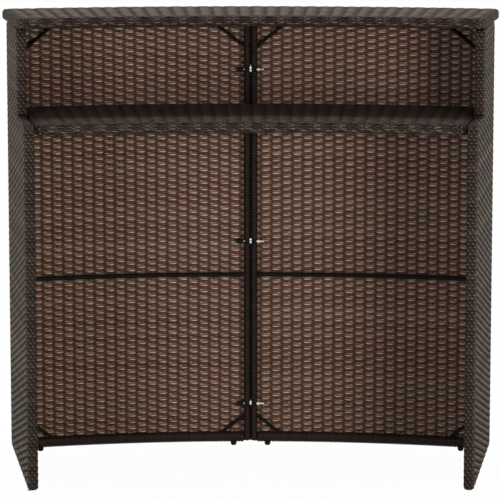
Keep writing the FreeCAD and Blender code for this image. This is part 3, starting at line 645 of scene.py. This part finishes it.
def top_cover(tones):
    weave, shape = settings()
    span = shape.top_far_radius - shape.top_near_radius
    cover = Cover(span, shape.top_half, 2 * shape.top_end_distance, weave.top_relief)
    corner = shape.bend_radius + shape.top_half
    lean = shape.top_end_angle

    def reach(inset):
        distance = shape.top_end_distance - corner_cut(inset, span, corner)
        offset = distance + shape.bow_centre * math.sin(lean)
        return lean + np.arcsin(offset / (shape.top_near_radius + inset))

    def ends(inset):
        run = (shape.top_near_radius + inset) * reach(inset)
        return -run, run

    def surface(stake_place, row_place):
        inset, q, height, lean_part, out, off = cover.frame_at(stake_place, row_place, ends)
        radius = shape.top_near_radius + inset
        turn = q / radius
        across = stack(np.sin(turn), np.cos(turn), 0.0)
        along = stack(np.cos(turn), -np.sin(turn), 0.0)
        level = shape.under_top + shape.top_half + height
        points = radius[:, None] * across + stack(0.0, shape.bow_centre, level)
        return points, lean_part[:, None] * along + out[:, None] * across + off[:, None] * UP

    return cover.weave(surface, tones)


def shelf_cover(tones):
    weave, shape = settings()
    near_middle = shape.shelf_near_centre + shape.shelf_near_radius
    span = shape.bow_centre + shape.shelf_back_radius - near_middle
    cover = Cover(span, shape.shelf_half, 2 * shape.shelf_end_distance, weave.shelf_relief)
    corner = shape.bend_radius + shape.shelf_half
    splay = shape.wing_splay

    def row_line(x, inset):
        """Depth and slope of a row at a place along it."""
        near_root = np.sqrt(shape.shelf_near_radius ** 2 - x ** 2)
        back_root = np.sqrt(shape.shelf_back_radius ** 2 - x ** 2)
        share = inset / span
        y = (1 - share) * (shape.shelf_near_centre + near_root) + share * (shape.bow_centre + back_root)
        return y, -x * ((1 - share) / near_root + share / back_root)

    def ends(inset):
        distance = shape.shelf_end_distance - corner_cut(inset, span, corner)
        x = distance
        for _ in range(END_ROUNDS):
            x = (distance + row_line(x, inset)[0] * math.sin(splay)) / math.cos(splay)
        return -x, x

    def surface(stake_place, row_place):
        inset, x, height, lean_part, out, off = cover.frame_at(stake_place, row_place, ends)
        y, slope = row_line(x, inset)
        scale = 1 / np.sqrt(1 + slope ** 2)
        along = stack(scale, slope * scale, 0.0)
        across = stack(-slope * scale, scale, 0.0)
        points = stack(x, y, shape.shelf_height - shape.shelf_half + height)
        return points, lean_part[:, None] * along + out[:, None] * across + off[:, None] * UP

    return cover.weave(surface, tones)


def wing_cover(side, tones):
    weave, shape = settings()
    corner = shape.bend_radius + shape.wing_half
    cos = math.cos(shape.wing_splay)
    sin = math.sin(shape.wing_splay)
    look = (weave.wing_relief, side, weave.wing_steep)
    full = Cover(shape.shelf_height, shape.wing_half, shape.wing_length, *look)
    foot = full.pitch * round((shape.shelf_height - shape.wing_lap) / full.pitch)
    upper_span = shape.under_top - foot
    upper = Cover(upper_span, shape.wing_half, shape.wing_length - shape.wing_upper_start, *look)
    upper.pitch = full.pitch
    upper.steps = int(profile_length(upper_span, shape.wing_half, shape.edge_radius) / full.pitch)

    def full_ends(inset):
        low = inset < full.span / 2
        cut_in = corner_cut(inset, full.span, corner)
        foot_cut = np.where(low, corner_cut(inset, full.span, shape.foot_radius), cut_in)
        return foot_cut, shape.wing_length - np.where(low, cut_in, 0.0)

    def upper_ends(inset):
        cut_in = np.where(inset > upper_span / 2, corner_cut(inset, upper_span, corner), 0.0)
        rise = np.clip(foot + inset - shape.shelf_height, 0.0, shape.wing_step_radius)
        gap = shape.wing_step_radius - rise
        fillet = shape.wing_step_radius - np.sqrt(shape.wing_step_radius ** 2 - gap ** 2)
        return shape.wing_upper_start + cut_in - fillet, shape.wing_length - cut_in

    def surface_of(cover, base, ends):
        total = 2 * (cover.faces + cover.edges)

        def surface(stake_place, row_place):
            u = stake_place if side > 0 else total - stake_place
            inset, y, height, lean_part, out, off = cover.frame_at(u, row_place, ends)
            x = height - shape.wing_half
            outwards = shape.wing_foot[0] + x * cos + y * sin
            depth = shape.wing_foot[1] - x * sin + y * cos
            points = stack(side * outwards, depth, base + inset)
            normals = stack(side * (off * cos + lean_part * sin), lean_part * cos - off * sin, out)
            return points, normals

        return surface

    lower_part = full.weave(surface_of(full, 0.0, full_ends), tones)
    first_row = int((shape.shelf_height - shape.wing_step_cover - foot) / full.pitch) + 2
    upper_tones = np.roll(tones, UPPER_SHIFT)
    upper_part = upper.weave(surface_of(upper, foot, upper_ends), upper_tones, first_row, with_rims=False)
    return join(lower_part, upper_part)


# Front sheets

def at_bolt(level):
    """One at the heights of the seam's bolts, where the sheets and the binding leave a window."""
    shape = settings()[1]
    away = np.abs(np.asarray(level)[:, None] - np.array(shape.bolt_heights))
    return (away.min(axis=1) < shape.window_half).astype(float)


def front_sheet(side, tones, stake_tones):
    weave, shape = settings()
    rise = shape.front_top - shape.floor_gap
    rows = even(rise / weave.row_pitch)
    run = shape.sheet_radius * (shape.sheet_end - shape.sheet_start)
    stakes = even(run / weave.stake_pitch)
    first = shape.sheet_start if side > 0 else -shape.sheet_end

    def surface(stake_place, row_place):
        turn = first + stake_place / stakes * (shape.sheet_end - shape.sheet_start)
        level = shape.floor_gap + (row_place + 0.5) * rise / rows
        keep = at_bolt(level) * shape.inner_post[0] / shape.sheet_radius
        turn = side * np.maximum(side * turn, keep)
        outwards = stack(np.sin(turn), np.cos(turn), 0.0)
        return shape.sheet_radius * outwards + stack(0.0, shape.bow_centre, level), -outwards

    strand = (SHEET_RINGS, weave.sheet_wave, weave.sheet_strand, weave.sheet_narrow, weave.sheet_wide)
    sheet = lay(flat_weave(stakes, rows, strand, False), surface, 0, tones, weave.sheet_wide, -side)
    close_ends(sheet)

    start_afresh()
    bpy.ops.mesh.primitive_cylinder_add(vertices=STRAND_SIDES, radius=1, depth=rows,
                                        rotation=(QUARTER, 0, 0), location=(0.5, rows / 2 - 0.5, 0))
    rods = bpy.context.object
    rods.scale = (weave.stake_width / weave.stake_pitch / 2, weave.sheet_wave - weave.sheet_strand / 2, 1)
    bpy.ops.object.transform_apply(location=True, rotation=True, scale=True)
    repeat(rods, stakes, (1, 0, 0), False)
    flat = points_of(rods)
    points, normals = surface(flat[:, 0], flat[:, 1])
    move_points(rods, points + normals * flat[:, 2:3])
    stake = np.clip(flat[:, 0].astype(int), 0, stakes - 1)
    # Painted shade on the stakes
    note(rods, tone=stake_tones[stake], across=weave.stake_border, along=flat[:, 1], shade=weave.stake_shade,
         lift=1)
    return join(sheet, rods)


# Binding

def close_domes(tube, run, dome):
    """In edit mode, close both ends of a tube with a dome."""
    for level, way in ((0.0, -1), (run, 1)):
        pick_points(tube, lambda point: abs(point.z - level) < SAME_PLACE)
        for part, share in DOME_RINGS:
            rise = (0, 0, way * part * dome)
            bpy.ops.mesh.extrude_region_move(TRANSFORM_OT_translate={"value": rise})
            bpy.ops.transform.resize(value=(share, share, 1), center_override=(0, 0, 0))
        bpy.ops.mesh.edge_face_add()
    bpy.ops.mesh.select_all(action="SELECT")
    bpy.ops.mesh.normals_make_consistent(inside=False)


def wound_tube(run, domed, tones):
    """A straight tube of strand turns along +Z, from nought."""
    weave, shape = settings()
    turns = round(run / weave.turn_pitch)
    pitch = run / turns
    start_afresh()
    bpy.ops.mesh.primitive_cylinder_add(vertices=TUBE_SIDES, radius=shape.binding_radius, depth=pitch,
                                        end_fill_type="NOTHING", location=(0, 0, pitch / 2))
    tube = bpy.context.object
    bpy.ops.object.transform_apply(location=True, rotation=False, scale=False)
    with editing():
        pick_edges(tube, lambda way: abs(way.z) > pitch / 2)
        bpy.ops.mesh.subdivide(number_cuts=TURN_CUTS)
        pick_points(tube, lambda point: min(point.z, pitch - point.z) < SAME_PLACE)
        bpy.ops.transform.resize(value=(weave.turn_valley, weave.turn_valley, 1), center_override=(0, 0, 0))
    repeat(tube, turns, (0, 0, pitch), True)
    if domed:
        with editing():
            close_domes(tube, run, shape.dome)
    flat = points_of(tube)
    turn = np.clip((flat[:, 2] / pitch).astype(int), 0, turns - 1)
    across = flat[:, 2] / pitch - turn - 0.5
    along = np.arctan2(flat[:, 1], flat[:, 0]) + TURN_OFFSET * turn
    # Lift is highest in the middle of each turn: painted shade in the grooves between turns, painted
    # highlights on the turns
    note(tube, tone=tones[turn % len(tones)], across=across, along=along, shade=1, lift=1 - 4 * across ** 2)
    return tube


def bind_front(side, tones):
    shape = settings()[1]
    dome = shape.dome
    parts = []
    for post in (shape.inner_post, shape.outer_post):
        sleeve = wound_tube(shape.front_top - shape.floor_gap - 2 * dome, True, tones)
        flat = points_of(sleeve)
        if post == shape.inner_post:
            window = at_bolt(flat[:, 2] + shape.floor_gap + dome)[:, None]
            flat[:, :2] *= 1 - window * (1 - shape.window_radius / shape.binding_radius)
        move_points(sleeve, flat + np.array((side * post[0], post[1], shape.floor_gap + dome)))
        parts.append(sleeve)
    clear = shape.binding_radius / shape.front_radius
    run = shape.front_radius * (shape.outer_post_angle - shape.inner_post_angle - 2 * clear)
    first = shape.inner_post_angle + clear if side > 0 else clear - shape.outer_post_angle
    low = shape.floor_gap + shape.binding_radius
    high = shape.front_top - shape.binding_radius
    for level, half in ((low + shape.rail_raise, shape.rail_half), (high, shape.top_rail_half)):
        sleeve = wound_tube(run, False, np.roll(tones, RAIL_SHIFT))
        flat = points_of(sleeve)
        turn = first + flat[:, 2] / shape.front_radius
        outwards = stack(np.sin(turn), np.cos(turn), 0.0)
        places = (shape.front_radius + flat[:, 1:2]) * outwards
        rise = flat[:, 0] * half / shape.binding_radius
        move_points(sleeve, places + stack(0.0, shape.bow_centre, level - rise))
        parts.append(sleeve)
    return join(*parts)


# Finishes

# Rates at which a strand's hue and streaks change along it, across it and from tone to tone
HUE_ALONG = 0.45
HUE_BY_TONE = 61.0
STREAK_ALONG = 1.1
STREAK_ACROSS = 14.0
STREAK_BY_TONE = 23.0

# Factor and offset of the light that comes back from streaks, and of the painted shade at borders and in
# dips
STREAK_LIGHT = (0.7, 0.65)
BORDER_LIGHT = (-0.75, 1.0)
DIP_LIGHT = (0.8, 0.2)
BORDER_RAMP = (8.0, -3.2)
BORDER_BLEND = 0.1

# Middle and reach of the painted highlights on the crests: ridges across a strand, and spots along it from
# stake to stake
LOWER_RIDGE = (-0.22, 0.11)
UPPER_RIDGE = (0.27, 0.11)
LOWER_SPOT = (0.62, 0.42)
LOWER_END_SPOT = (0.78, 0.15)
UPPER_SPOT = (0.24, 0.17)
END_SPOT_SHARE = 0.6
CREST_FALL = 2.0
CREST_STRENGTH = 2.0
RIDGE_RATE = 13.4
RIDGE_SHARE = 0.5

# Powers of the light in red, green and blue, so that what is dark is also warmer
WARMTH = (0.9, 1.15, 1.35)
COOL_STOP = 0.32
PLAIN_STOP = 0.5
WARM_STOP = 0.68
PLAIN = (1.0, 1.0, 1.0)
STREAK_ROUGHNESS = 0.25
STRAND_BUMP = (0.0004, 0.6)
# Palest tone of the binding against its base, also the colour of its painted highlights
PALER = 1.7

# Broad patches of a grained surface: their size against the grain's, and what they change
PATCH_SCALE = 0.06
PATCH_LIGHT = (0.6, 0.7)
PATCH_ROUGHNESS = 0.25
GRAIN_BUMP = 0.4

FLOOR_WHITE = (0.9, 0.9, 0.9)
FLOOR_ROUGHNESS = 0.9


def new_group(name, inputs, outputs):
    group = bpy.data.node_groups.new(name, "ShaderNodeTree")
    for way, labels in (("INPUT", inputs), ("OUTPUT", outputs)):
        for label in labels:
            group.interface.new_socket(label, in_out=way, socket_type="NodeSocketFloat")
    return group, group.nodes.new("NodeGroupInput"), group.nodes.new("NodeGroupOutput")


def feed(tree, socket, source):
    """Link a socket to its source, or set its plain value."""
    if isinstance(source, bpy.types.NodeSocket):
        tree.links.new(source, socket)
    else:
        socket.default_value = source


def add_node(tree, kind, *sources, **values):
    """A node with its first inputs fed and its settings made."""
    node = tree.nodes.new(kind)
    for name, value in values.items():
        setattr(node, name, value)
    for socket, source in zip(node.inputs, sources):
        feed(tree, socket, source)
    return node


def math_node(tree, operation, *sources):
    return add_node(tree, "ShaderNodeMath", *sources, operation=operation).outputs[0]


def vector_node(tree, *parts):
    return add_node(tree, "ShaderNodeCombineXYZ", *parts).outputs[0]


def scale_node(tree, vector, factor):
    node = add_node(tree, "ShaderNodeVectorMath", vector, operation="SCALE")
    feed(tree, node.inputs["Scale"], factor)
    return node.outputs[0]


def noise_node(tree, vector, scale, detail):
    node = add_node(tree, "ShaderNodeTexNoise", vector)
    node.inputs["Scale"].default_value = scale
    node.inputs["Detail"].default_value = detail
    return node.outputs["Fac"]


def ramp_node(tree, source, stops):
    node = tree.nodes.new("ShaderNodeValToRGB")
    elements = node.color_ramp.elements
    while len(elements) < len(stops):
        elements.new(0.5)
    for element, (position, shade) in zip(elements, stops):
        element.position = position
        element.color = (*shade, 1)
    tree.links.new(source, node.inputs[0])
    return node.outputs[0]


def mix_node(tree, blend, amount, first, second):
    """Mix two colours, which have sockets 6 and 7 of the node and its output 2."""
    node = add_node(tree, "ShaderNodeMix", amount, data_type="RGBA", blend_type=blend)
    feed(tree, node.inputs[6], first)
    feed(tree, node.inputs[7], second)
    return node.outputs[2]


def hump(tree, source, middle, reach):
    """One at a place, falling to nought at a distance from it."""
    off = math_node(tree, "MULTIPLY_ADD", source, 1 / reach, -middle / reach)
    fall = math_node(tree, "SUBTRACT", 1.0, math_node(tree, "MULTIPLY", off, off))
    return math_node(tree, "MAXIMUM", fall, 0.0)


def strand_group():
    """Streaks along a strand, painted shade at its borders and in its dips, and painted highlights on the
    crests of its two ridges.
    """
    if "strand_detail" in bpy.data.node_groups:
        return bpy.data.node_groups["strand_detail"]
    labels = ("Light", "Hue", "Streak", "Crest", "Height")
    group, source, result = new_group("strand_detail", ("Tone", "Along", "Across", "Shade", "Lift"), labels)
    tone, along, across, shade, lift = source.outputs[:5]
    times = partial(math_node, group, "MULTIPLY")
    scaled = partial(math_node, group, "MULTIPLY_ADD")
    spot = partial(hump, group)
    run = vector_node(group, times(along, HUE_ALONG), times(tone, HUE_BY_TONE), 0.0)
    hue = noise_node(group, run, 1.0, 1.0)
    fine = vector_node(group, times(along, STREAK_ALONG), times(across, STREAK_ACROSS),
                       times(tone, STREAK_BY_TONE))
    streak = noise_node(group, fine, 1.0, 3.0)
    off_middle = math_node(group, "ABSOLUTE", across)
    # Painted shade: a strand darkens towards its borders, where it meets its neighbours, and in its dips
    # behind the stakes
    border = math_node(group, "SMOOTH_MAX", scaled(off_middle, *BORDER_RAMP), 0.0, BORDER_BLEND)
    light = times(times(scaled(streak, *STREAK_LIGHT), scaled(border, *BORDER_LIGHT)), shade)
    light = times(light, scaled(lift, *DIP_LIGHT))
    # Painted highlights: pale spots on the two ridges of each float, fading in the dips
    part = math_node(group, "FRACT", along)
    lower_spots = scaled(spot(part, *LOWER_END_SPOT), END_SPOT_SHARE, spot(part, *LOWER_SPOT))
    lower = times(spot(across, *LOWER_RIDGE), lower_spots)
    upper = times(spot(across, *UPPER_RIDGE), spot(part, *UPPER_SPOT))
    crest = times(math_node(group, "ADD", upper, lower), streak)
    crest = times(crest, math_node(group, "POWER", lift, CREST_FALL))
    ridge = math_node(group, "COSINE", scaled(across, RIDGE_RATE, math.pi))
    height = scaled(ridge, RIDGE_SHARE, streak)
    for label, value in zip(labels, (light, hue, streak, crest, height)):
        group.links.new(value, result.inputs[label])
    return group


def grain_group():
    """Fine grain of a coated or moulded surface."""
    if "fine_grain" in bpy.data.node_groups:
        return bpy.data.node_groups["fine_grain"]
    group, source, result = new_group("fine_grain", ("Scale", "Gloss"), ("Light", "Roughness", "Height"))
    scale, gloss = source.outputs[:2]
    scaled = scale_node(group, group.nodes.new("ShaderNodeTexCoord").outputs["Object"], scale)
    grain = noise_node(group, scaled, 1.0, 3.0)
    patch = noise_node(group, scaled, PATCH_SCALE, 2.0)
    group.links.new(math_node(group, "MULTIPLY_ADD", patch, *PATCH_LIGHT), result.inputs["Light"])
    roughness = math_node(group, "MULTIPLY_ADD", patch, PATCH_ROUGHNESS, gloss)
    group.links.new(roughness, result.inputs["Roughness"])
    group.links.new(grain, result.inputs["Height"])
    return group


def new_finish(name):
    finish = bpy.data.materials.new(name)
    finish.use_nodes = True
    tree = finish.node_tree
    return finish, tree, tree.nodes["Principled BSDF"]


def add_bump(tree, shader, height, distance, strength):
    bump = tree.nodes.new("ShaderNodeBump")
    bump.inputs["Distance"].default_value = distance
    bump.inputs["Strength"].default_value = strength
    tree.links.new(height, bump.inputs["Height"])
    tree.links.new(bump.outputs[0], shader.inputs["Normal"])


def strand_finish(name, stops, crest, warm, cool, specular, gloss):
    """Synthetic strand: each has a tone that drifts between a warm and a cool cast, and painted highlights
    on its crests.
    """
    finish, tree, shader = new_finish(name)
    detail = add_node(tree, "ShaderNodeGroup", node_tree=strand_group())
    notes = {}
    for label in ("tone", "along", "across", "shade", "lift"):
        notes[label] = add_node(tree, "ShaderNodeAttribute", attribute_name=label).outputs["Fac"]
        tree.links.new(notes[label], detail.inputs[label.capitalize()])
    base = ramp_node(tree, notes["tone"], stops)
    casts = ((COOL_STOP, cool), (PLAIN_STOP, PLAIN), (WARM_STOP, warm))
    cast = ramp_node(tree, detail.outputs["Hue"], casts)
    tinted = mix_node(tree, "MULTIPLY", 1.0, base, cast)
    warmth = [math_node(tree, "POWER", detail.outputs["Light"], power) for power in WARMTH]
    lit = mix_node(tree, "MULTIPLY", 1.0, tinted, vector_node(tree, *warmth))
    # Painted highlight: the crest colour is mixed in on the ridges
    highlight_share = math_node(tree, "MULTIPLY", detail.outputs["Crest"], CREST_STRENGTH)
    highlight_share = math_node(tree, "MINIMUM", highlight_share, 1.0)
    tree.links.new(mix_node(tree, "MIX", highlight_share, lit, (*crest, 1)), shader.inputs["Base Color"])
    roughness = math_node(tree, "MULTIPLY_ADD", detail.outputs["Streak"], STREAK_ROUGHNESS, gloss)
    tree.links.new(roughness, shader.inputs["Roughness"])
    shader.inputs["Specular IOR Level"].default_value = specular
    add_bump(tree, shader, detail.outputs["Height"], *STRAND_BUMP)
    return finish


def spaced(kind, *names):
    """Evenly spaced stops of a kind's named colours."""
    tones = bpy.context.scene.bar_finish
    last = len(names) - 1
    return [(step / last, tuple(getattr(tones, f"{kind}_{name}"))) for step, name in enumerate(names)]


def sheet_finish():
    stops = spaced("sheet", "dark", "brown", "olive", "brown", "pale", "brown", "red")
    crest = tuple(bpy.context.scene.bar_finish.sheet_highlight)
    return strand_finish("sheet_strand", stops, crest, warm=(1.08, 0.965, 0.94), cool=(0.94, 1.0, 0.96),
                         specular=0.08, gloss=0.4)


def cover_finish():
    stops = spaced("cover", "dark", "brown", "olive", "dark", "plum", "brown", "pale")
    crest = tuple(bpy.context.scene.bar_finish.cover_highlight)
    return strand_finish("cover_strand", stops, crest, warm=(1.12, 0.96, 0.94), cool=(0.95, 1.0, 0.97),
                         specular=0.04, gloss=0.55)


def binding_finish():
    base = tuple(bpy.context.scene.bar_finish.binding_strand)
    # The binding's painted highlights take its paler tone
    paler = tuple(PALER * part for part in base)
    return strand_finish("wound_strand", ((0.0, base), (1.0, paler)), paler, warm=(1.1, 0.98, 0.95),
                         cool=(0.95, 1.0, 1.05), specular=0.08, gloss=0.35)


def grain_finish(name, base, scale, gloss=0.45, specular=0.06, metallic=0.0, depth=0.0001):
    """Coated or moulded surface with fine grain."""
    finish, tree, shader = new_finish(name)
    grain = add_node(tree, "ShaderNodeGroup", node_tree=grain_group())
    grain.inputs["Scale"].default_value = scale
    grain.inputs["Gloss"].default_value = gloss
    lit = scale_node(tree, tuple(base), grain.outputs["Light"])
    tree.links.new(lit, shader.inputs["Base Color"])
    tree.links.new(grain.outputs["Roughness"], shader.inputs["Roughness"])
    shader.inputs["Metallic"].default_value = metallic
    shader.inputs["Specular IOR Level"].default_value = specular
    add_bump(tree, shader, grain.outputs["Height"], depth, GRAIN_BUMP)
    return finish


def finish_named(name, maker):
    return bpy.data.materials.get(name) or maker()


# Operators

def tones_for(key, count):
    """Seeded tones for rows, stakes or turns of strand."""
    return np.random.default_rng([settings()[0].seed, key]).random(count)


class BAR_OT_front_sheets(bpy.types.Operator):
    """Weave the two sheets on the guests' side"""
    bl_idname = "bar.front_sheets"
    bl_label = "Front sheets"

    def execute(self, context):
        for key, (name, side) in enumerate(SIDES.items()):
            stake_tones = tones_for(STAKE_KEY + key, STAKE_TONES)
            sheet = front_sheet(side, tones_for(SHEET_KEY + key, ROW_TONES), stake_tones)
            finish = finish_named("sheet_strand", sheet_finish)
            hand_over(sheet, f"woven_front_{name}", "weave", finish, f"front_{name}_weave")
        return {"FINISHED"}


class BAR_OT_binding(bpy.types.Operator):
    """Wind the binding round the posts and rails of the front panels"""
    bl_idname = "bar.binding"
    bl_label = "Binding"

    def execute(self, context):
        for key, (name, side) in enumerate(SIDES.items()):
            binding = bind_front(side, tones_for(BINDING_KEY + key, TURN_TONES))
            finish = finish_named("wound_strand", binding_finish)
            hand_over(binding, f"wound_binding_{name}", "binding", finish, f"front_{name}_binding")
        return {"FINISHED"}


class BAR_OT_wing_covers(bpy.types.Operator):
    """Weave the covers of the two wings"""
    bl_idname = "bar.wing_covers"
    bl_label = "Wing covers"

    def execute(self, context):
        for key, (name, side) in enumerate(SIDES.items()):
            cover = wing_cover(side, tones_for(WING_KEY + key, ROW_TONES))
            finish = finish_named("cover_strand", cover_finish)
            hand_over(cover, f"woven_wing_{name}", "weave", finish, f"wing_{name}_weave")
        return {"FINISHED"}


class BAR_OT_flat_covers(bpy.types.Operator):
    """Weave the covers of the counter top and the shelf"""
    bl_idname = "bar.flat_covers"
    bl_label = "Top and shelf covers"

    def execute(self, context):
        finish = finish_named("cover_strand", cover_finish)
        top = top_cover(tones_for(TOP_KEY, ROW_TONES))
        hand_over(top, "woven_top", "weave", finish, "top_weave")
        shelf = shelf_cover(tones_for(SHELF_KEY, ROW_TONES))
        hand_over(shelf, "woven_shelf", "weave", finish, "shelf_weave")
        return {"FINISHED"}


class BAR_OT_hardware(bpy.types.Operator):
    """Give the tubes, bolts, knobs and glides their finishes"""
    bl_idname = "bar.hardware"
    bl_label = "Hardware"

    def execute(self, context):
        tones = context.scene.bar_finish
        finishes = {
            "frame": grain_finish("black_paint", tones.paint, 900.0),
            "glide": grain_finish("moulded_glide", tones.moulding, 500.0),
            "knob": grain_finish("moulded_knob", tones.moulding, 700.0, gloss=0.4),
            "zinc": grain_finish("zinc_plating", tones.zinc, 1200.0, 0.25, 0.5, metallic=1.0, depth=0.00005),
            "dark bolt": grain_finish("black_plating", tones.paint, 1200.0, 0.3, 0.3, depth=0.00005),
        }
        slots = {entry["node"]: entry["material_slot"] for entry in frame["record"]["subparts"]}
        for name, node in frame["nodes"].items():
            # Bolts inside the covers get a dark finish in place of zinc
            in_cover = name.startswith(("wing_", "top_", "shelf_"))
            slot = "dark bolt" if in_cover and "bolts" in name else slots[name]
            if slot in finishes:
                node.data.materials.clear()
                node.data.materials.append(finishes[slot])
        return {"FINISHED"}


class BAR_OT_studio(bpy.types.Operator):
    """Set the floor, the light and the camera"""
    bl_idname = "bar.studio"
    bl_label = "Studio"

    def execute(self, context):
        scene = context.scene
        studio = scene.bar_studio
        scene.view_settings.view_transform = "Standard"
        make_floor(studio)
        make_world(studio.ambient)
        make_lamp("key_light", studio.key_place, studio.front_size, studio.key_power)
        make_lamp("fill_light", studio.fill_place, studio.front_size, studio.fill_power, studio.fill_tint)
        make_lamp("top_light", studio.top_place, studio.top_size, studio.top_power)
        for name, side in SIDES.items():
            across, *rest = studio.side_place
            location = (side * across, *rest)
            make_lamp(f"{name}_light", location, studio.side_size, studio.side_power, studio.side_tint)
        bpy.ops.object.camera_add(location=studio.camera_place,
                                  rotation=(QUARTER - studio.camera_pitch, 0, -studio.camera_yaw))
        camera = context.object
        camera.name = "camera"
        camera.data.lens = studio.lens
        camera.data.clip_end = studio.sight
        scene.camera = camera
        return {"FINISHED"}


def shown_ray(tree):
    """One for rays that show the background itself."""
    path = tree.nodes.new("ShaderNodeLightPath")
    shown = math_node(tree, "MAXIMUM", path.outputs["Is Camera Ray"], path.outputs["Is Glossy Ray"])
    return math_node(tree, "MAXIMUM", shown, path.outputs["Is Transmission Ray"])


def make_floor(studio):
    start_afresh()
    bpy.ops.mesh.primitive_plane_add(size=studio.floor_size)
    floor = bpy.context.object
    floor.name = "floor"
    finish, tree, shader = new_finish("pale_floor")
    shader.inputs["Base Color"].default_value = (*FLOOR_WHITE, 1)
    shader.inputs["Roughness"].default_value = FLOOR_ROUGHNESS
    shader.inputs["Specular IOR Level"].default_value = 0.0
    glow = tree.nodes.new("ShaderNodeEmission")
    coordinates = tree.nodes.new("ShaderNodeTexCoord").outputs["Object"]
    away = add_node(tree, "ShaderNodeVectorMath", coordinates, operation="LENGTH").outputs["Value"]
    reach = (studio.floor_near, studio.floor_far)
    share = add_node(tree, "ShaderNodeMapRange", away, *reach, studio.floor_glow)
    amount = math_node(tree, "MULTIPLY", shown_ray(tree), share.outputs[0])
    blend = add_node(tree, "ShaderNodeMixShader", amount, shader.outputs[0], glow.outputs[0])
    tree.links.new(blend.outputs[0], tree.nodes["Material Output"].inputs["Surface"])
    floor.data.materials.append(finish)


def make_world(ambient):
    world = bpy.data.worlds.new("studio")
    bpy.context.scene.world = world
    world.use_nodes = True
    tree = world.node_tree
    background = tree.nodes["Background"]
    background.inputs["Color"].default_value = (1, 1, 1, 1)
    strength = math_node(tree, "MULTIPLY_ADD", shown_ray(tree), 1.0 - ambient, ambient)
    tree.links.new(strength, background.inputs["Strength"])


def make_lamp(name, location, size, power, tint=(1.0, 1.0, 1.0)):
    bpy.ops.object.light_add(type="AREA", location=location)
    lamp = bpy.context.object
    lamp.name = name
    lamp.data.size = size
    lamp.data.energy = power
    lamp.data.color = tint
    toward = np.subtract(bpy.context.scene.bar_studio.lit_place, location)
    pitch = math.atan2(toward[2], math.hypot(toward[0], toward[1]))
    lamp.rotation_euler = (QUARTER + pitch, 0, math.atan2(toward[1], toward[0]) - QUARTER)


class BAR_PT_panel(bpy.types.Panel):
    """Lists the steps that dress the bar"""
    bl_idname = "BAR_PT_panel"
    bl_label = "Rattan bar table"
    bl_space_type = "VIEW_3D"
    bl_region_type = "UI"
    bl_category = "Bar"

    def draw(self, context):
        for operator in OPERATORS:
            self.layout.operator(operator.bl_idname)
        for name in SETTINGS:
            group = getattr(context.scene, name)
            box = self.layout.box()
            for key in group.__annotations__:
                box.prop(group, key, text=key.replace("_", " ").capitalize())


OPERATORS = (BAR_OT_front_sheets, BAR_OT_binding, BAR_OT_wing_covers, BAR_OT_flat_covers, BAR_OT_hardware,
             BAR_OT_studio)
SETTINGS = {
    "bar_weave": BAR_PG_weave,
    "bar_shape": BAR_PG_shape,
    "bar_finish": BAR_PG_finish,
    "bar_studio": BAR_PG_studio,
}


def register():
    for item in (*SETTINGS.values(), *OPERATORS, BAR_PT_panel):
        bpy.utils.register_class(item)
    for name, group in SETTINGS.items():
        setattr(bpy.types.Scene, name, PointerProperty(type=group))


def unregister():
    for name in SETTINGS:
        delattr(bpy.types.Scene, name)
    for item in (BAR_PT_panel, *reversed(OPERATORS), *reversed(SETTINGS.values())):
        bpy.utils.unregister_class(item)


def main():
    register()
    bpy.ops.bar.front_sheets()
    bpy.ops.bar.binding()
    bpy.ops.bar.wing_covers()
    bpy.ops.bar.flat_covers()
    bpy.ops.bar.hardware()
    bpy.ops.bar.studio()
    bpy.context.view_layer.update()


if __name__ == "__main__":
    main()
